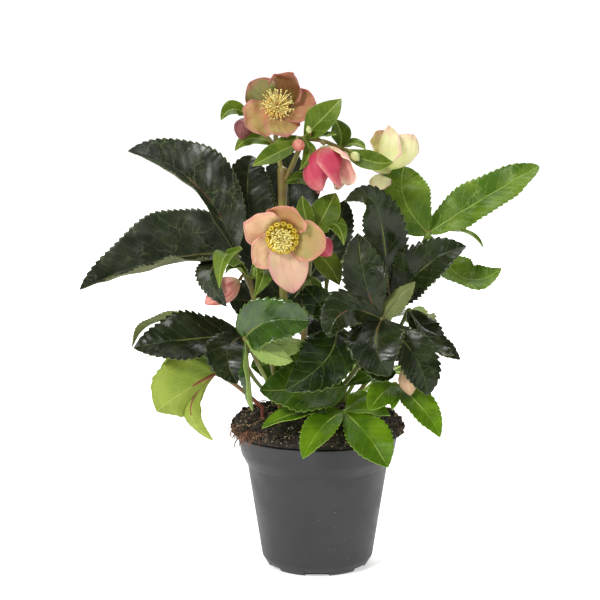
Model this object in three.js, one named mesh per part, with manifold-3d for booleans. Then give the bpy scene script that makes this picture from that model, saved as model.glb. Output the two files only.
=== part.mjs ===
// A potted hellebore (a garden hybrid of the Christmas rose) in a 13 cm nursery pot.
// Millimetres, +Z up. The origin is the centre of the pot's foot, on the surface it stands on.
// The plant's front is towards -Y. Every leaf, flower stem, bloom and bud is a solid of its own:
// leaves and stems stand in holes in the peat, and blooms and buds sit on the ends of their stalks.
import * as THREE from "three";
import { mergeVertices } from "three/addons/utils/BufferGeometryUtils.js";
import Module from "manifold-3d";

const wasm = await Module();
wasm.setup();

// ---- driving dimensions ----
const GAP = 0.3; // clearance between neighbouring solids

// the pot, from its foot up: its rounded shoulder, its neck, and the wider collar with the rim
const POT_HEIGHT = 109;
const RIM_RADIUS = 65;
const FOOT_RADIUS = 40;
const SHOULDER_RADIUS = 45;
const SHOULDER_HEIGHT = 8;
const NECK_RADIUS = 57;
const COLLAR_FOOT_HEIGHT = 84.5;
const COLLAR_STEP = 1;
const COLLAR_RADIUS = 62;
const COLLAR_HEIGHT = 93;
const WALL = 1.8;
const FLOOR_THICK = 2.4;
const POT_SEGMENTS = 24;
const DRAIN_COUNT = 6;
const DRAIN_WIDTH = 19;
const DRAIN_DEPTH = 12;
const DRAIN_INSET = 5;
const DRAIN_HEIGHT = 3;

// the peat
const PEAT_CROWN_HEIGHT = 131;
const PEAT_CLEAR = 0.6; // between the peat and the pot's wall
const SIDE_OVERHANG = 7.5; // of the peat over the rim
const BACK_OVERHANG = 3;
const OVERHANG_FALL = 1.6; // the higher, the sooner it ends in front and behind
const PEAT_SEGMENTS = 24;
const PLANTED_HEIGHT = 119; // where stalks end, inside the peat
const CLEAR_OF_PEAT = 134; // a stalk rises straight to here
const HOLE_SIDES = 5;
const HOLE_LENGTH = 40;

// stalks and blades
const STALK_RADIUS = 1.7;
const STALK_SIDES = 5;
const STALK_SPANS = 3; // of a stalk above the peat
const KNUCKLE_RADIUS = 2.6; // where the leaflets meet on the stalk
const BLADE_THICK = 0.8;
const BASE_HALF_WIDTH = 1.1; // of every blade, where it leaves its stalk
const TIP_HALF_WIDTH = 0.45;
const TOOTH_OUT = 1.07; // a tooth's point and the notch beside it, as shares of the half width
const NOTCH_IN = 0.94;
const TOOTH_LEAN = 0.72; // teeth point towards the tip
const WAVE_COUNT = 2.2; // along a blade's edge
const WAVE_PHASE_RIGHT = 0.6;
const WAVE_PHASE_LEFT = 2.4;
const NARROW_LEAFLET = 40; // up to here a leaflet has the fewest teeth
const WIDE_LEAFLET = 50; // from here on it has the most
const BROAD_LEAFLET = 70; // and from here on its halves are curved across
// what a blade is where its row in the tables below doesn't say otherwise
const LEAFLET_FORM = { lean: 1, fullness: 0.8, fold: 14, cup: 8, wave: 2 };
const NARROW_BRACT = 14;
const BRACT_FORM = { lean: 0.95, fullness: 0.9, fold: 14, cup: 8, wave: 0.6 };
const SEPAL_CELLS = 4;
const SEPAL_FORM = { lean: 1.08, fullness: 0.54 };

// blooms and buds
const CALYX_RADIUS = 4.5; // where the sepals meet on the stalk
const CALYX_FOOT_RADIUS = 3;
const CALYX_THICK = 1.6;
const CALYX_SIDES = 8;
const SEPAL_ROOT = 2; // from the bloom's axis
const SEPAL_TURN_OUT = 0.5; // how far its upper face turns away from the axis
const CORE_RADIUS = 3.2; // of the stamens
const CORE_SUNK = 2.2; // how deep a stamen's foot lies in the core
const ANTHER_RADIUS = 1;
const FILAMENT_RADIUS = 0.5;
const GOLDEN_ANGLE = Math.PI * (3 - Math.sqrt(5)); // turns each stamen on from the one before
const NECTARY_WALL = 1;
const LIP_WALL = 0.6; // the ring thins towards its lip
const LIP_DROP = 0.9;
const LOBE_OUT = 1.16; // of a nectary's mouth
const BUD_SEGMENTS = 9;
const BUD_RINGS = 5;
const BUD_LOW = 0.85; // below 1 a bud is widest nearer its base
const BUD_FULLNESS = 0.75;
const BUD_FURL = 0.05;

// working steps
const MERGE_WITHIN = 1e-4; // corners closer than this are one
const RIB_STEP = 0.001;
const NORMAL_STEP = 0.02;

// ---- colours: [colour, roughness] ----
const TONES = {
  dark: [0x24352a, 0.4],
  mid: [0x2f6026, 0.45],
  bright: [0x5f9426, 0.5],
  pale: [0x86a344, 0.6],
  pot: [0x4a4a4c, 0.55],
  peat: [0x2a2019, 0.95],
  stem: [0x6f7a35, 0.5],
  anther: [0xe8d860, 0.6],
  nectary: [0xc79a1c, 0.5],
};
const PETAL_ROUGHNESS = 0.6;

// ---- the plant ----
// A leaf stands at its foot [x, y] on the crown, leans through `via` and ends at its joint, where its
// leaflets spread. A leaflet's rib runs from the joint through the points in `rib`. It is `wide` across,
// widest nearer its base the smaller its `lean` is. `up` is the way its upper face looks, `fold` the angle
// that each half is raised by, `cup` how much further it curls, and `wave` the height of its edge's waves.
const LEAVES = [
  {
    name: "leaf_west_high",
    tone: "dark",
    foot: [-16, 10],
    via: [-38, 4, 190],
    joint: [-66, -5, 256],
    leaflets: [
      { rib: [[-98, 15, 309], [-153, 25, 335]], wide: 63, up: [0.5, -0.6, 0.6], fold: 32, cup: 10 },
      {
        rib: [[-125, -12, 251], [-188, -25, 230]],
        wide: 80, lean: 0.65, up: [-0.13, -0.65, 0.75], fold: 38, cup: 8, wave: 3,
      },
      { rib: [[-83, -46, 248], [-70, -67, 224]], wide: 23, up: [-0.3, -0.8, 0.4], cup: 10, wave: 1 },
    ],
  },
  {
    name: "leaf_centre_back",
    tone: "dark",
    foot: [-10, 18],
    via: [-18, 28, 165],
    joint: [-28, 32, 203],
    leaflets: [
      {
        rib: [[-54, 32, 276], [-54, 40, 330]],
        wide: 44, lean: 1.3, fullness: 0.55, up: [0.1, -0.9, 0.3], fold: 12,
      },
      {
        rib: [[-24, 54, 270], [-28, 66, 333]],
        wide: 54, lean: 1.3, fullness: 0.6, up: [0.05, -0.95, 0.3], fold: 12,
      },
      { rib: [[8, 38, 254], [22, 46, 293]], wide: 34, lean: 1.1, up: [-0.2, -0.9, 0.4], fold: 12 },
      { rib: [[-55, 22, 213], [-72, 20, 213]], wide: 36, lean: 0.9, fullness: 0.6, up: [0, -0.9, 0.3] },
      { rib: [[0, 20, 204], [24, 18, 216]], wide: 40, lean: 0.9, fullness: 0.6, up: [0, -0.9, 0.3] },
    ],
  },
  {
    name: "leaf_west_low",
    tone: "dark",
    foot: [-24, -10],
    via: [-40, -16, 160],
    joint: [-59, -25, 193],
    leaflets: [
      { rib: [[-104, -40, 193], [-144, -45, 187]], wide: 45, lean: 0.9, up: [-0.1, -0.75, 0.65], fold: 12 },
      {
        rib: [[-70, -58, 186], [-62, -70, 164]],
        wide: 34, lean: 1.1, up: [0, -0.9, 0.4], fold: 10, cup: 10, wave: 1,
      },
      { rib: [[-122, 6, 201], [-150, 5, 178]], wide: 18, up: [-0.3, 0.3, 0.9], fold: 24, cup: 12 },
    ],
  },
  {
    name: "leaf_west_pale",
    tone: "pale",
    foot: [-44, -20],
    via: [-66, -26, 154],
    joint: [-80, -30, 164],
    leaflets: [
      {
        rib: [[-104, -46, 154], [-126, -52, 138]],
        wide: 54, lean: 1.1, fullness: 0.7, up: [0, 0.9, 0.3], cup: 14, wave: 3,
      },
      {
        rib: [[-100, -42, 138], [-82, -46, 113]],
        wide: 16, lean: 1.2, up: [0.2, 0.8, 0.3], fold: 16, cup: 10, wave: 1,
      },
      { rib: [[-103, -8, 170], [-129, 5, 153]], wide: 33, lean: 1.3, up: [0, -0.5, 0.85], fold: 12 },
    ],
  },
  {
    name: "leaf_front_mid",
    tone: "mid",
    foot: [-14, -20],
    via: [-36, -52, 158],
    joint: [-56, -62, 198],
    leaflets: [
      {
        rib: [[-38, -78, 214], [-7, -74, 214]],
        wide: 38, lean: 0.85, fullness: 0.45, up: [-0.1, -0.93, 0.35], fold: 18,
      },
      { rib: [[-36, -82, 191], [-19, -84, 185]], wide: 18, up: [0.1, 0.7, -0.6], fold: 10, cup: 10, wave: 1 },
      { rib: [[-33, -68, 194], [-8, -60, 196]], wide: 22, up: [0.1, 0.7, -0.6], fold: 8, wave: 1 },
      {
        rib: [[-53, -78, 174], [-50, -80, 145]],
        wide: 16, lean: 1.3, up: [-0.9, -0.3, 0.2], fold: 40, cup: 10, wave: 1,
      },
    ],
  },
  {
    name: "leaf_front_dark",
    tone: "dark",
    foot: [2, -22],
    via: [5, -17, 168],
    joint: [14, -40, 204],
    leaflets: [
      { rib: [[7, -66, 183], [-25, -76, 160]], wide: 44, lean: 0.95, up: [0.1, -0.85, 0.5], fold: 12 },
      { rib: [[42, -50, 176], [61, -52, 170]], wide: 24, lean: 1.2, up: [0.1, -0.8, 0.6], fold: 10, wave: 1 },
      { rib: [[2, -50, 222], [-10, -46, 236]], wide: 24, lean: 1.3, up: [-0.2, -0.8, 0.5], wave: 1 },
    ],
  },
  {
    name: "leaf_front_low",
    tone: "mid",
    foot: [14, -8],
    via: [20, -16, 140],
    joint: [22, -26, 152],
    leaflets: [
      { rib: [[-13, -53, 156], [-45, -62, 157]], wide: 45, lean: 0.9, up: [0, -0.8, 0.6], fold: 12, cup: 6 },
      {
        rib: [[-20, -26, 169], [-53, -25, 168]],
        wide: 40, lean: 1.1, up: [0, -0.95, 0.25], fold: 10, cup: 6, wave: 1,
      },
      { rib: [[42, -30, 162], [54, -30, 160]], wide: 20, lean: 1.2, up: [0, -0.6, 0.8], wave: 1 },
    ],
  },
  {
    name: "leaf_rim_front",
    tone: "bright",
    foot: [28, -22],
    via: [27, -34, 138],
    joint: [21, -45, 136],
    leaflets: [
      { rib: [[-14, -58, 139], [-43, -70, 129]], wide: 20, lean: 1.1, up: [0, -0.4, 0.9], cup: 4, wave: 1 },
      { rib: [[4, -73, 131], [-11, -94, 111]], wide: 26, lean: 1.2, up: [0, -0.5, 0.85], cup: 4, wave: 1 },
      {
        rib: [[39, -71, 123], [54, -90, 103]],
        wide: 34, lean: 1.1, up: [-0.1, -0.6, 0.8], fold: 10, cup: 4, wave: 1,
      },
      { rib: [[40, -49, 139], [57, -48, 134]], wide: 18, lean: 1.2, up: [0, -0.4, 0.9], cup: 4, wave: 1 },
      { rib: [[32, -32, 143], [43, -22, 145]], wide: 16, lean: 1.2, up: [0, -0.5, 0.85], cup: 4, wave: 1 },
    ],
  },
  {
    name: "leaf_east_arch",
    tone: "dark",
    foot: [10, 6],
    via: [34, 4, 165],
    joint: [60, -8, 212],
    leaflets: [
      {
        rib: [[54, -18, 253], [46, -26, 295], [21, -32, 301]],
        wide: 36, lean: 0.85, up: [0.1, -0.85, 0.5], cup: 10, wave: 3,
      },
      { rib: [[83, -28, 248], [116, -32, 266]], wide: 40, lean: 0.95, up: [0, -0.8, 0.6], fold: 18 },
      { rib: [[78, 3, 228], [94, 3, 231]], wide: 13, lean: 1.2, up: [0, -0.5, 0.8], fold: 16, wave: 1 },
    ],
  },
  {
    name: "leaf_east_mid",
    tone: "dark",
    foot: [0, -6],
    via: [24, -24, 165],
    joint: [50, -44, 210],
    leaflets: [
      { rib: [[38, -45, 236], [31, -37, 277]], wide: 35, lean: 1.4, up: [0, -0.95, 0.3] },
      { rib: [[22, -58, 219], [9, -64, 199]], wide: 34, lean: 1.15, up: [-0.2, -0.8, 0.5] },
      { rib: [[45, -72, 193], [56, -80, 173]], wide: 46, lean: 0.8, up: [-0.1, -0.8, 0.6], fold: 16 },
      {
        rib: [[75, -60, 184], [85, -66, 154]],
        wide: 34, lean: 1.15, up: [0.2, -0.85, 0.45], fold: 12, cup: 10,
      },
      { rib: [[61, -44, 224], [76, -40, 239]], wide: 17, lean: 1, up: [0.2, 0.7, -0.4], fold: 8, wave: 1 },
    ],
  },
  {
    name: "leaf_east_bright",
    tone: "bright",
    foot: [22, 10],
    via: [54, 16, 190],
    joint: [89, 15, 270],
    leaflets: [
      {
        rib: [[69.5, 10, 297], [69.5, 24, 323]],
        wide: 44, lean: 1.15, fullness: 0.5, up: [-0.1, -0.9, 0.3], fold: 8, cup: 10,
      },
      {
        rib: [[131, 20, 296], [178, 25, 323]],
        wide: 38, lean: 0.95, fullness: 0.55, up: [-0.3, -0.75, 0.6], fold: 12, cup: 6,
      },
      {
        rib: [[115, -8, 238], [146, -8, 245]],
        wide: 32, lean: 1.1, up: [0.1, -0.6, 0.8], fold: 16, cup: 6, wave: 3,
      },
      { rib: [[118, 35, 269], [136, 45, 254]], wide: 12, up: [0, -0.4, 0.9], fold: 16, cup: 6, wave: 1 },
    ],
  },
  {
    name: "leaf_east_back",
    tone: "dark",
    foot: [30, 14],
    via: [52, 18, 165],
    joint: [74, 18, 206],
    leaflets: [
      {
        rib: [[92, 6, 185], [115, 2, 169]],
        wide: 25, lean: 0.75, fullness: 0.65, up: [0.2, -0.6, 0.7], fold: 16, cup: 10,
      },
      { rib: [[93, -14, 184], [108, -24, 178]], wide: 14, lean: 1.3, up: [0.3, -0.5, 0.8], fold: 20 },
      { rib: [[84, 44, 194], [88, 72, 172]], wide: 26, lean: 1.35, up: [0, 0.1, 1], cup: 6 },
    ],
  },
  {
    name: "leaf_east_low",
    tone: "bright",
    foot: [34, -8],
    via: [46, -20, 144],
    joint: [61, -34, 156],
    leaflets: [
      { rib: [[50, -56, 153], [40, -66, 142]], wide: 22, up: [0, -0.8, 0.5], fold: 12, cup: 6, wave: 1 },
      { rib: [[80, -58, 144], [95, -70, 122]], wide: 25, up: [0.2, -0.8, 0.5], fold: 12, cup: 6, wave: 1 },
      { rib: [[60, -55, 151], [58, -66, 143]], wide: 10, up: [0, -0.8, 0.5], fold: 16, cup: 6, wave: 1 },
    ],
  },
  {
    name: "leaf_back_west",
    tone: "dark",
    foot: [-24, 22],
    via: [-44, 50, 180],
    joint: [-56, 64, 222],
    leaflets: [
      { rib: [[-88, 76, 250], [-122, 84, 252]], wide: 40, lean: 1.3, up: [-0.1, 0.1, 1], cup: 6 },
      { rib: [[-66, 96, 240], [-78, 128, 230]], wide: 40, lean: 1.3, up: [0, 0.3, 0.9], cup: 6 },
      { rib: [[-38, 90, 236], [-26, 116, 226]], wide: 40, lean: 1.3, up: [0.2, 0.3, 0.9], cup: 6 },
    ],
  },
  {
    name: "leaf_back",
    tone: "dark",
    foot: [0, 28],
    via: [4, 60, 180],
    joint: [8, 76, 226],
    leaflets: [
      { rib: [[-8, 88, 262], [-22, 102, 290]], wide: 40, lean: 1.3, up: [-0.1, 0.6, 0.7], cup: 6 },
      { rib: [[14, 106, 246], [18, 136, 240]], wide: 40, lean: 1.3, up: [0, 0.3, 0.9], cup: 6 },
      { rib: [[34, 90, 244], [56, 106, 246]], wide: 38, lean: 1.3, up: [0.1, 0.3, 0.9], cup: 6 },
    ],
  },
  {
    name: "leaf_back_east",
    tone: "mid",
    foot: [14, 22],
    via: [36, 50, 156],
    joint: [50, 66, 184],
    leaflets: [
      { rib: [[72, 86, 192], [92, 104, 178]], wide: 38, lean: 1.3, up: [0.2, 0.2, 0.9], cup: 6 },
      { rib: [[50, 98, 200], [50, 130, 188]], wide: 40, lean: 1.3, up: [0, 0.3, 0.9], cup: 6 },
    ],
  },
  {
    name: "leaf_back_low",
    tone: "bright",
    foot: [30, 26],
    via: [42, 46, 136],
    joint: [52, 58, 144],
    leaflets: [
      { rib: [[64, 76, 148], [74, 96, 134]], wide: 30, lean: 1.3, up: [0.2, 0.3, 0.9], cup: 6, wave: 1 },
      { rib: [[40, 78, 148], [30, 100, 134]], wide: 30, lean: 1.3, up: [-0.1, 0.3, 0.9], cup: 6, wave: 1 },
      { rib: [[70, 50, 147], [88, 44, 136]], wide: 26, lean: 1.3, up: [0.3, 0, 0.9], cup: 6, wave: 1 },
    ],
  },
  {
    name: "leaf_back_low_west",
    tone: "mid",
    foot: [-36, 8],
    via: [-52, 32, 146],
    joint: [-62, 48, 160],
    leaflets: [
      { rib: [[-76, 66, 168], [-88, 90, 152]], wide: 36, lean: 1.3, up: [-0.2, 0.3, 0.9], cup: 6, wave: 1 },
      { rib: [[-50, 72, 166], [-42, 98, 150]], wide: 36, lean: 1.3, up: [0.1, 0.3, 0.9], cup: 6, wave: 1 },
    ],
  },
];

// A flower stem is a bundle of shoots, each a list of points, and bracts, which are leaflets with plain
// edges. The first shoot stands at the stem's foot.
const STEMS = [
  {
    name: "stem_tall",
    foot: [-26, 0],
    shoots: [
      { radius: 3.4, path: [[-27, -1, 200], [-28, -3, 260], [-28, -5, 324]] },
      { radius: 2, path: [[-28, -5, 320], [-33, -1, 341], [-33, -2, 359], [-32, -8, 369.5]] },
      { radius: 2.1, path: [[-27, -5, 312], [-19, -11, 330], [-11, -20, 350]] },
      { radius: 1.6, path: [[-12, -19, 349], [4, -17, 347], [18, -15, 341]] },
      { radius: 1.5, path: [[17, -15, 341.5], [34, -4, 334], [45.5, 3.5, 327], [52.2, -1.2, 320]] },
      { radius: 1.4, path: [[-33, -1, 341], [-46, 3, 353], [-57, -1, 366]] },
      { radius: 1.4, path: [[-11, -20, 349], [-3, -26, 351], [5, -31, 346]] },
      { radius: 1.1, path: [[-12, -20, 349], [-16, -28, 351], [-15.5, -33, 349]] },
      { radius: 1, path: [[18, -15, 341], [23, -24, 341], [26, -29, 339.6]] },
      { radius: 0.9, path: [[-4, -25, 350.5], [-6.2, -32.6, 354]] },
    ],
    bracts: [
      { rib: [[-11, -20, 350.5], [3, -30, 365], [18, -18, 380]], wide: 25, up: [-0.3, -0.9, 0.3], cup: 10 },
      { rib: [[17, -15, 342], [18, -11, 352], [13, -3, 363]], wide: 17, up: [0, -0.9, 0.3], fold: 12 },
      { rib: [[-3, -26, 351], [5, -34, 353], [14, -40, 354]], wide: 8, up: [0, -0.6, 0.8], fold: 16 },
      { rib: [[-13, -21, 347], [-33, -43, 339], [-50, -52, 331]], wide: 17, up: [0, -0.8, 0.6], fold: 14 },
      { rib: [[-12, -19, 350], [-26, -23, 347], [-38, -22, 341]], wide: 9, up: [0, -0.8, 0.6], fold: 16 },
      { rib: [[-11, -21, 348.5], [-7, -33, 339], [-14, -43, 327]], wide: 11, up: [0.2, -0.8, 0.5], fold: 16 },
      { rib: [[18, -16, 340.5], [42, -30, 332], [58, -42, 333]], wide: 17, up: [0, -0.9, 0.4] },
      { rib: [[18, -15, 341.5], [29, -17, 345], [37, -24, 341]], wide: 10, up: [0, -0.6, 0.8] },
      { rib: [[-56.5, -1, 365.5], [-67, -6, 371], [-76, -14, 363]], wide: 15, up: [-0.2, -0.8, 0.5] },
      { rib: [[-33, -1, 341], [-52, 6, 347], [-66, 6, 337]], wide: 14.5, up: [0, -0.8, 0.6] },
      { rib: [[-27, -5, 312], [-13, -14, 317], [1, -16, 310]], wide: 12, up: [0, -0.8, 0.6] },
    ],
  },
  {
    name: "stem_short",
    foot: [-14, -8],
    shoots: [
      { radius: 2.5, path: [[-11, -14, 190], [-8, -24, 240], [-4, -35, 276]] },
      { radius: 1.7, path: [[-4, -34, 274], [-12, -40, 283], [-21, -50, 286], [-26.3, -59.3, 280.2]] },
      { radius: 1.2, path: [[-4, -35, 273], [-2, -40, 273.5]] },
    ],
    bracts: [
      { rib: [[-5, -35, 275], [-10, -46, 293], [-12, -46, 307]], wide: 14, up: [0, -0.9, 0.3], fold: 12 },
      { rib: [[-3, -34, 275], [6, -36, 293], [14, -26, 307]], wide: 24, up: [0, -0.9, 0.4], fold: 10 },
      { rib: [[-2.5, -35, 275], [13, -41, 284], [20, -53, 270]], wide: 16, up: [0.2, -0.8, 0.6], fold: 10 },
      { rib: [[-5, -31, 263], [8, -36, 252], [17, -38, 236]], wide: 20, up: [0.1, -0.9, 0.4], fold: 10 },
      { rib: [[-8, -24, 240], [-4, -40, 232], [-4, -44, 211]], wide: 16, up: [0, -0.9, 0.4], fold: 10 },
    ],
  },
  {
    name: "stem_west",
    foot: [-30, -24],
    shoots: [
      { radius: 1.8, path: [[-34, -48, 167], [-44, -45, 205], [-54, -44, 243]] },
      { radius: 1.3, path: [[-53.5, -44, 241], [-58, -45.5, 245], [-60.5, -46.5, 241.6]] },
    ],
    bracts: [
      { rib: [[-54, -44.5, 242], [-69, -66, 264], [-75, -77, 240]], wide: 21, up: [-0.5, -0.7, 0.5] },
      { rib: [[-54.5, -44.5, 243], [-64, -60, 254], [-71, -63, 249]], wide: 8, up: [0, -0.5, 0.9], cup: 10 },
      { rib: [[-53, -44.5, 243], [-46, -57, 252], [-39, -60, 254]], wide: 12, up: [0, -0.8, 0.5], cup: 10 },
      {
        rib: [[-53, -45, 242], [-42, -58, 249], [-49, -67, 231]],
        wide: 17, up: [0.4, -0.8, 0.4], fold: 20, cup: 10,
      },
    ],
  },
  {
    name: "stem_east_low",
    foot: [24, -6],
    shoots: [
      { radius: 1.5, path: [[46, -14, 160], [66, -36, 182], [68, -51, 174]] },
    ],
    bracts: [],
  },
];

// A bloom opens along its axis from its base, at the end of its stalk. Each sepal is turned round the axis
// from the bloom's right, rises by `belly` degrees to its middle and by `lift` to its tip, and is rolled
// so that one edge lies over its neighbour.
const BLOOMS = [
  {
    name: "bloom_top",
    tone: 0xa8705a,
    base: [-32, -9, 371.5],
    axis: [0.02, -0.94, 0.34],
    sepals: [
      { turn: 0, long: 31, wide: 30, belly: 20, lift: 24, roll: 10, fold: 4, cup: 14, wave: 1.5 },
      { turn: 60, long: 31, wide: 32, belly: 26, lift: 40, roll: 10, fold: 6, cup: 30, wave: 1.5 },
      { turn: 140, long: 28, wide: 29, belly: 18, lift: 20, roll: 10, fold: 4, cup: 8, wave: 1.5 },
      { turn: 214, long: 31, wide: 32, belly: 20, lift: 24, roll: 10, fold: 4, cup: 12, wave: 1.5 },
      { turn: 285, long: 26, wide: 29, belly: 18, lift: 22, roll: 10, fold: 4, cup: 8, wave: 1.5 },
    ],
    stamens: { count: 14, long: 14, nearest: 14, widest: 68, rise: 7 },
    nectaries: { count: 11, inner: 3.6, outer: 8, rise: 5.2, deep: 4 },
  },
  {
    name: "bloom_front",
    tone: 0xd9a583,
    base: [-27, -60.5, 279.5],
    axis: [-0.02, -0.985, -0.16],
    sepals: [
      { turn: -9, long: 35, wide: 33, belly: 22, lift: 24, roll: 10, fold: 4, cup: 20, wave: 1 },
      { turn: 74, long: 29, wide: 35, belly: 24, lift: 30, roll: 10, fold: 4, cup: 24, wave: 1.5 },
      { turn: 154, long: 32, wide: 33, belly: 22, lift: 26, roll: 10, fold: 4, cup: 20, wave: 1 },
      { turn: 222, long: 31, wide: 29, belly: 22, lift: 28, roll: 10, fold: 4, cup: 20, wave: 1 },
      {
        turn: 281, long: 44, wide: 32, lean: 0.95, fullness: 0.66,
        belly: 20, lift: 16, roll: 10, fold: 4, cup: 18, wave: 1,
      },
    ],
    stamens: { count: 12, long: 12, nearest: 6, widest: 36, rise: 7 },
    nectaries: { count: 11, inner: 3.6, outer: 11.5, rise: 4.8, deep: 6.5 },
  },
  {
    name: "bloom_nodding",
    tone: 0xd0606a,
    base: [5.1, -31.6, 344.6],
    axis: [0.2, -0.14, -0.97],
    sepals: [
      { turn: -100, long: 36, wide: 29, belly: 47, lift: 66, roll: 16, fold: 10, cup: 50, wave: 0.5 },
      { turn: -28, long: 35, wide: 27, belly: 47, lift: 66, roll: 16, fold: 10, cup: 50, wave: 0.5 },
      { turn: 44, long: 34, wide: 26, belly: 48, lift: 68, roll: 16, fold: 10, cup: 50, wave: 0.5 },
      { turn: 116, long: 34, wide: 26, belly: 48, lift: 68, roll: 16, fold: 10, cup: 50, wave: 0.5 },
      { turn: 188, long: 34, wide: 27, belly: 48, lift: 68, roll: 16, fold: 10, cup: 50, wave: 0.5 },
    ],
    stamens: { count: 5, long: 13, nearest: 3, widest: 10, rise: 6.5 },
  },
  {
    name: "bloom_cream",
    tone: 0xe4e2b0,
    base: [54, -2, 322.6],
    axis: [0.32, 0.25, 0.9],
    sepals: [
      { turn: 10, long: 33, wide: 33, lean: 1.2, belly: 52, lift: 68, roll: 14, fold: 8, cup: 40, wave: 1 },
      { turn: 100, long: 34, wide: 35, lean: 1.2, belly: 52, lift: 68, roll: 14, fold: 8, cup: 40, wave: 1 },
      { turn: 188, long: 34, wide: 34, lean: 1.2, belly: 52, lift: 68, roll: 14, fold: 8, cup: 40, wave: 1 },
      { turn: 278, long: 35, wide: 34, lean: 1.2, belly: 50, lift: 64, roll: 14, fold: 8, cup: 40, wave: 1 },
      { turn: 120, long: 22, wide: 19, belly: -60, lift: -70, roll: 0, fold: 8, cup: 30, wave: 1 },
    ],
    stamens: { count: 5, long: 13, nearest: 4, widest: 16, rise: 6.5 },
  },
];

// A bud sits on the end of its shoot: `base` is where it is held and `axis` the way it points.
const BUDS = [
  {
    name: "bud_top_west",
    tone: 0x8c3f4a,
    long: 18,
    wide: 15,
    base: [-57.4, -1.4, 364.3],
    axis: [-0.2, -0.2, -0.95],
  },
  {
    name: "bud_round",
    tone: 0xd98a72,
    long: 10,
    wide: 10,
    base: [-15, -34.5, 348],
    axis: [0, -0.85, -0.5],
  },
  {
    name: "bud_east",
    tone: 0xcdd596,
    long: 9,
    wide: 7,
    base: [26.1, -29.1, 339.5],
    axis: [0.6, -0.3, -0.7],
  },
  {
    name: "bud_tip",
    tone: 0xc9a07a,
    long: 8,
    wide: 4.5,
    base: [-6.2, -32.7, 354.1],
    axis: [-0.2, -0.6, 0.8],
  },
  {
    name: "bud_red",
    tone: 0xb53345,
    long: 19,
    wide: 16,
    base: [-1.7, -40.2, 273.2],
    axis: [0.62, -0.45, -0.64],
  },
  {
    name: "bud_west",
    tone: 0xdb8377,
    long: 33,
    wide: 20,
    base: [-60.5, -46.5, 241.6],
    axis: [-0.82, -0.1, -0.56],
  },
  {
    name: "bud_east_low",
    tone: 0xd9a78a,
    long: 22,
    wide: 15,
    base: [68.2, -51.2, 173],
    axis: [0.2, -0.15, -0.96],
  },
];

// ---- small helpers ----
const vec = ([x, y, z]) => new THREE.Vector3(x, y, z);
const radians = THREE.MathUtils.degToRad;

// A closed three.js geometry as a manifold-3d solid.
function solidOf(geometry) {
  const bare = geometry.index ? geometry.toNonIndexed() : geometry.clone();
  bare.deleteAttribute("normal");
  bare.deleteAttribute("uv");
  const merged = mergeVertices(bare, MERGE_WITHIN);
  const corners = Array.from(merged.index.array);
  const faces = [];
  for (let i = 0; i < corners.length; i += 3) {
    const [a, b, c] = corners.slice(i, i + 3);
    if (a !== b && b !== c && c !== a) faces.push(a, b, c);
  }
  const vertProperties = merged.attributes.position.array;
  return new wasm.Manifold(new wasm.Mesh({ numProp: 3, vertProperties, triVerts: new Uint32Array(faces) }));
}

function joined(geometries) {
  return geometries.map(solidOf).reduce((all, one) => all.add(one));
}

function meshOf(name, solid, colour, roughness) {
  const data = solid.getMesh();
  const geometry = new THREE.BufferGeometry();
  geometry.setAttribute("position", new THREE.BufferAttribute(new Float32Array(data.vertProperties), 3));
  geometry.setIndex(new THREE.BufferAttribute(new Uint32Array(data.triVerts), 1));
  geometry.computeVertexNormals();
  const material = new THREE.MeshStandardMaterial({ color: colour, roughness, metalness: 0 });
  const mesh = new THREE.Mesh(geometry, material);
  mesh.name = name;
  return mesh;
}

// ---- stalks ----
// A smooth curve whose sections fall on its own points.
class StalkCurve extends THREE.CatmullRomCurve3 {
  getPointAt(share, target) {
    return this.getPoint(share, target);
  }

  getTangentAt(share, target) {
    return this.getTangent(share, target);
  }
}

function limb(points, radius) {
  const outline = new THREE.Shape();
  for (let i = 0; i < STALK_SIDES; i += 1) {
    const angle = (2 * Math.PI * i) / STALK_SIDES;
    const corner = [radius * Math.cos(angle), radius * Math.sin(angle)];
    if (i === 0) outline.moveTo(...corner);
    else outline.lineTo(...corner);
  }
  const extrudePath = new StalkCurve(points, false, "centripetal");
  return new THREE.ExtrudeGeometry(outline, { steps: points.length - 1, extrudePath, bevelEnabled: false });
}

// The points of a stalk that stands upright in its hole, then leans away along its route.
function rooted([x, y], route) {
  const free = new THREE.CatmullRomCurve3([[x, y, CLEAR_OF_PEAT], ...route].map(vec));
  return [vec([x, y, PLANTED_HEIGHT]), ...free.getSpacedPoints(STALK_SPANS)];
}

// ---- blades: leaflets, bracts and sepals ----
// The rib is the smooth curve through its points, which are spread evenly from s = 0 to s = 1.
function ribPoint(blade, s) {
  const last = blade.rib.length - 1;
  const point = new THREE.Vector3();
  blade.rib.forEach((place, i) => {
    let share = 1;
    for (let j = 0; j <= last; j += 1) if (j !== i) share *= (last * s - j) / (i - j);
    point.addScaledVector(vec(place), share);
  });
  return point;
}

// The directions across the blade and out of its upper face at s.
function ribFrame(blade, s) {
  const along = ribPoint(blade, s + RIB_STEP).sub(ribPoint(blade, s - RIB_STEP)).normalize();
  const up = vec(blade.up);
  up.addScaledVector(along, -up.dot(along)).normalize();
  return { up, across: new THREE.Vector3().crossVectors(along, up) };
}

// Half the width at s: sin(pi s^lean) is widest where s^lean is a half, and a fullness below 1 rounds it.
function halfWidth(blade, s) {
  const share = Math.max(0, Math.sin(Math.PI * s ** blade.lean)) ** blade.fullness;
  return Math.max((blade.wide / 2) * share, THREE.MathUtils.lerp(BASE_HALF_WIDTH, TIP_HALF_WIDTH, s));
}

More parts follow.
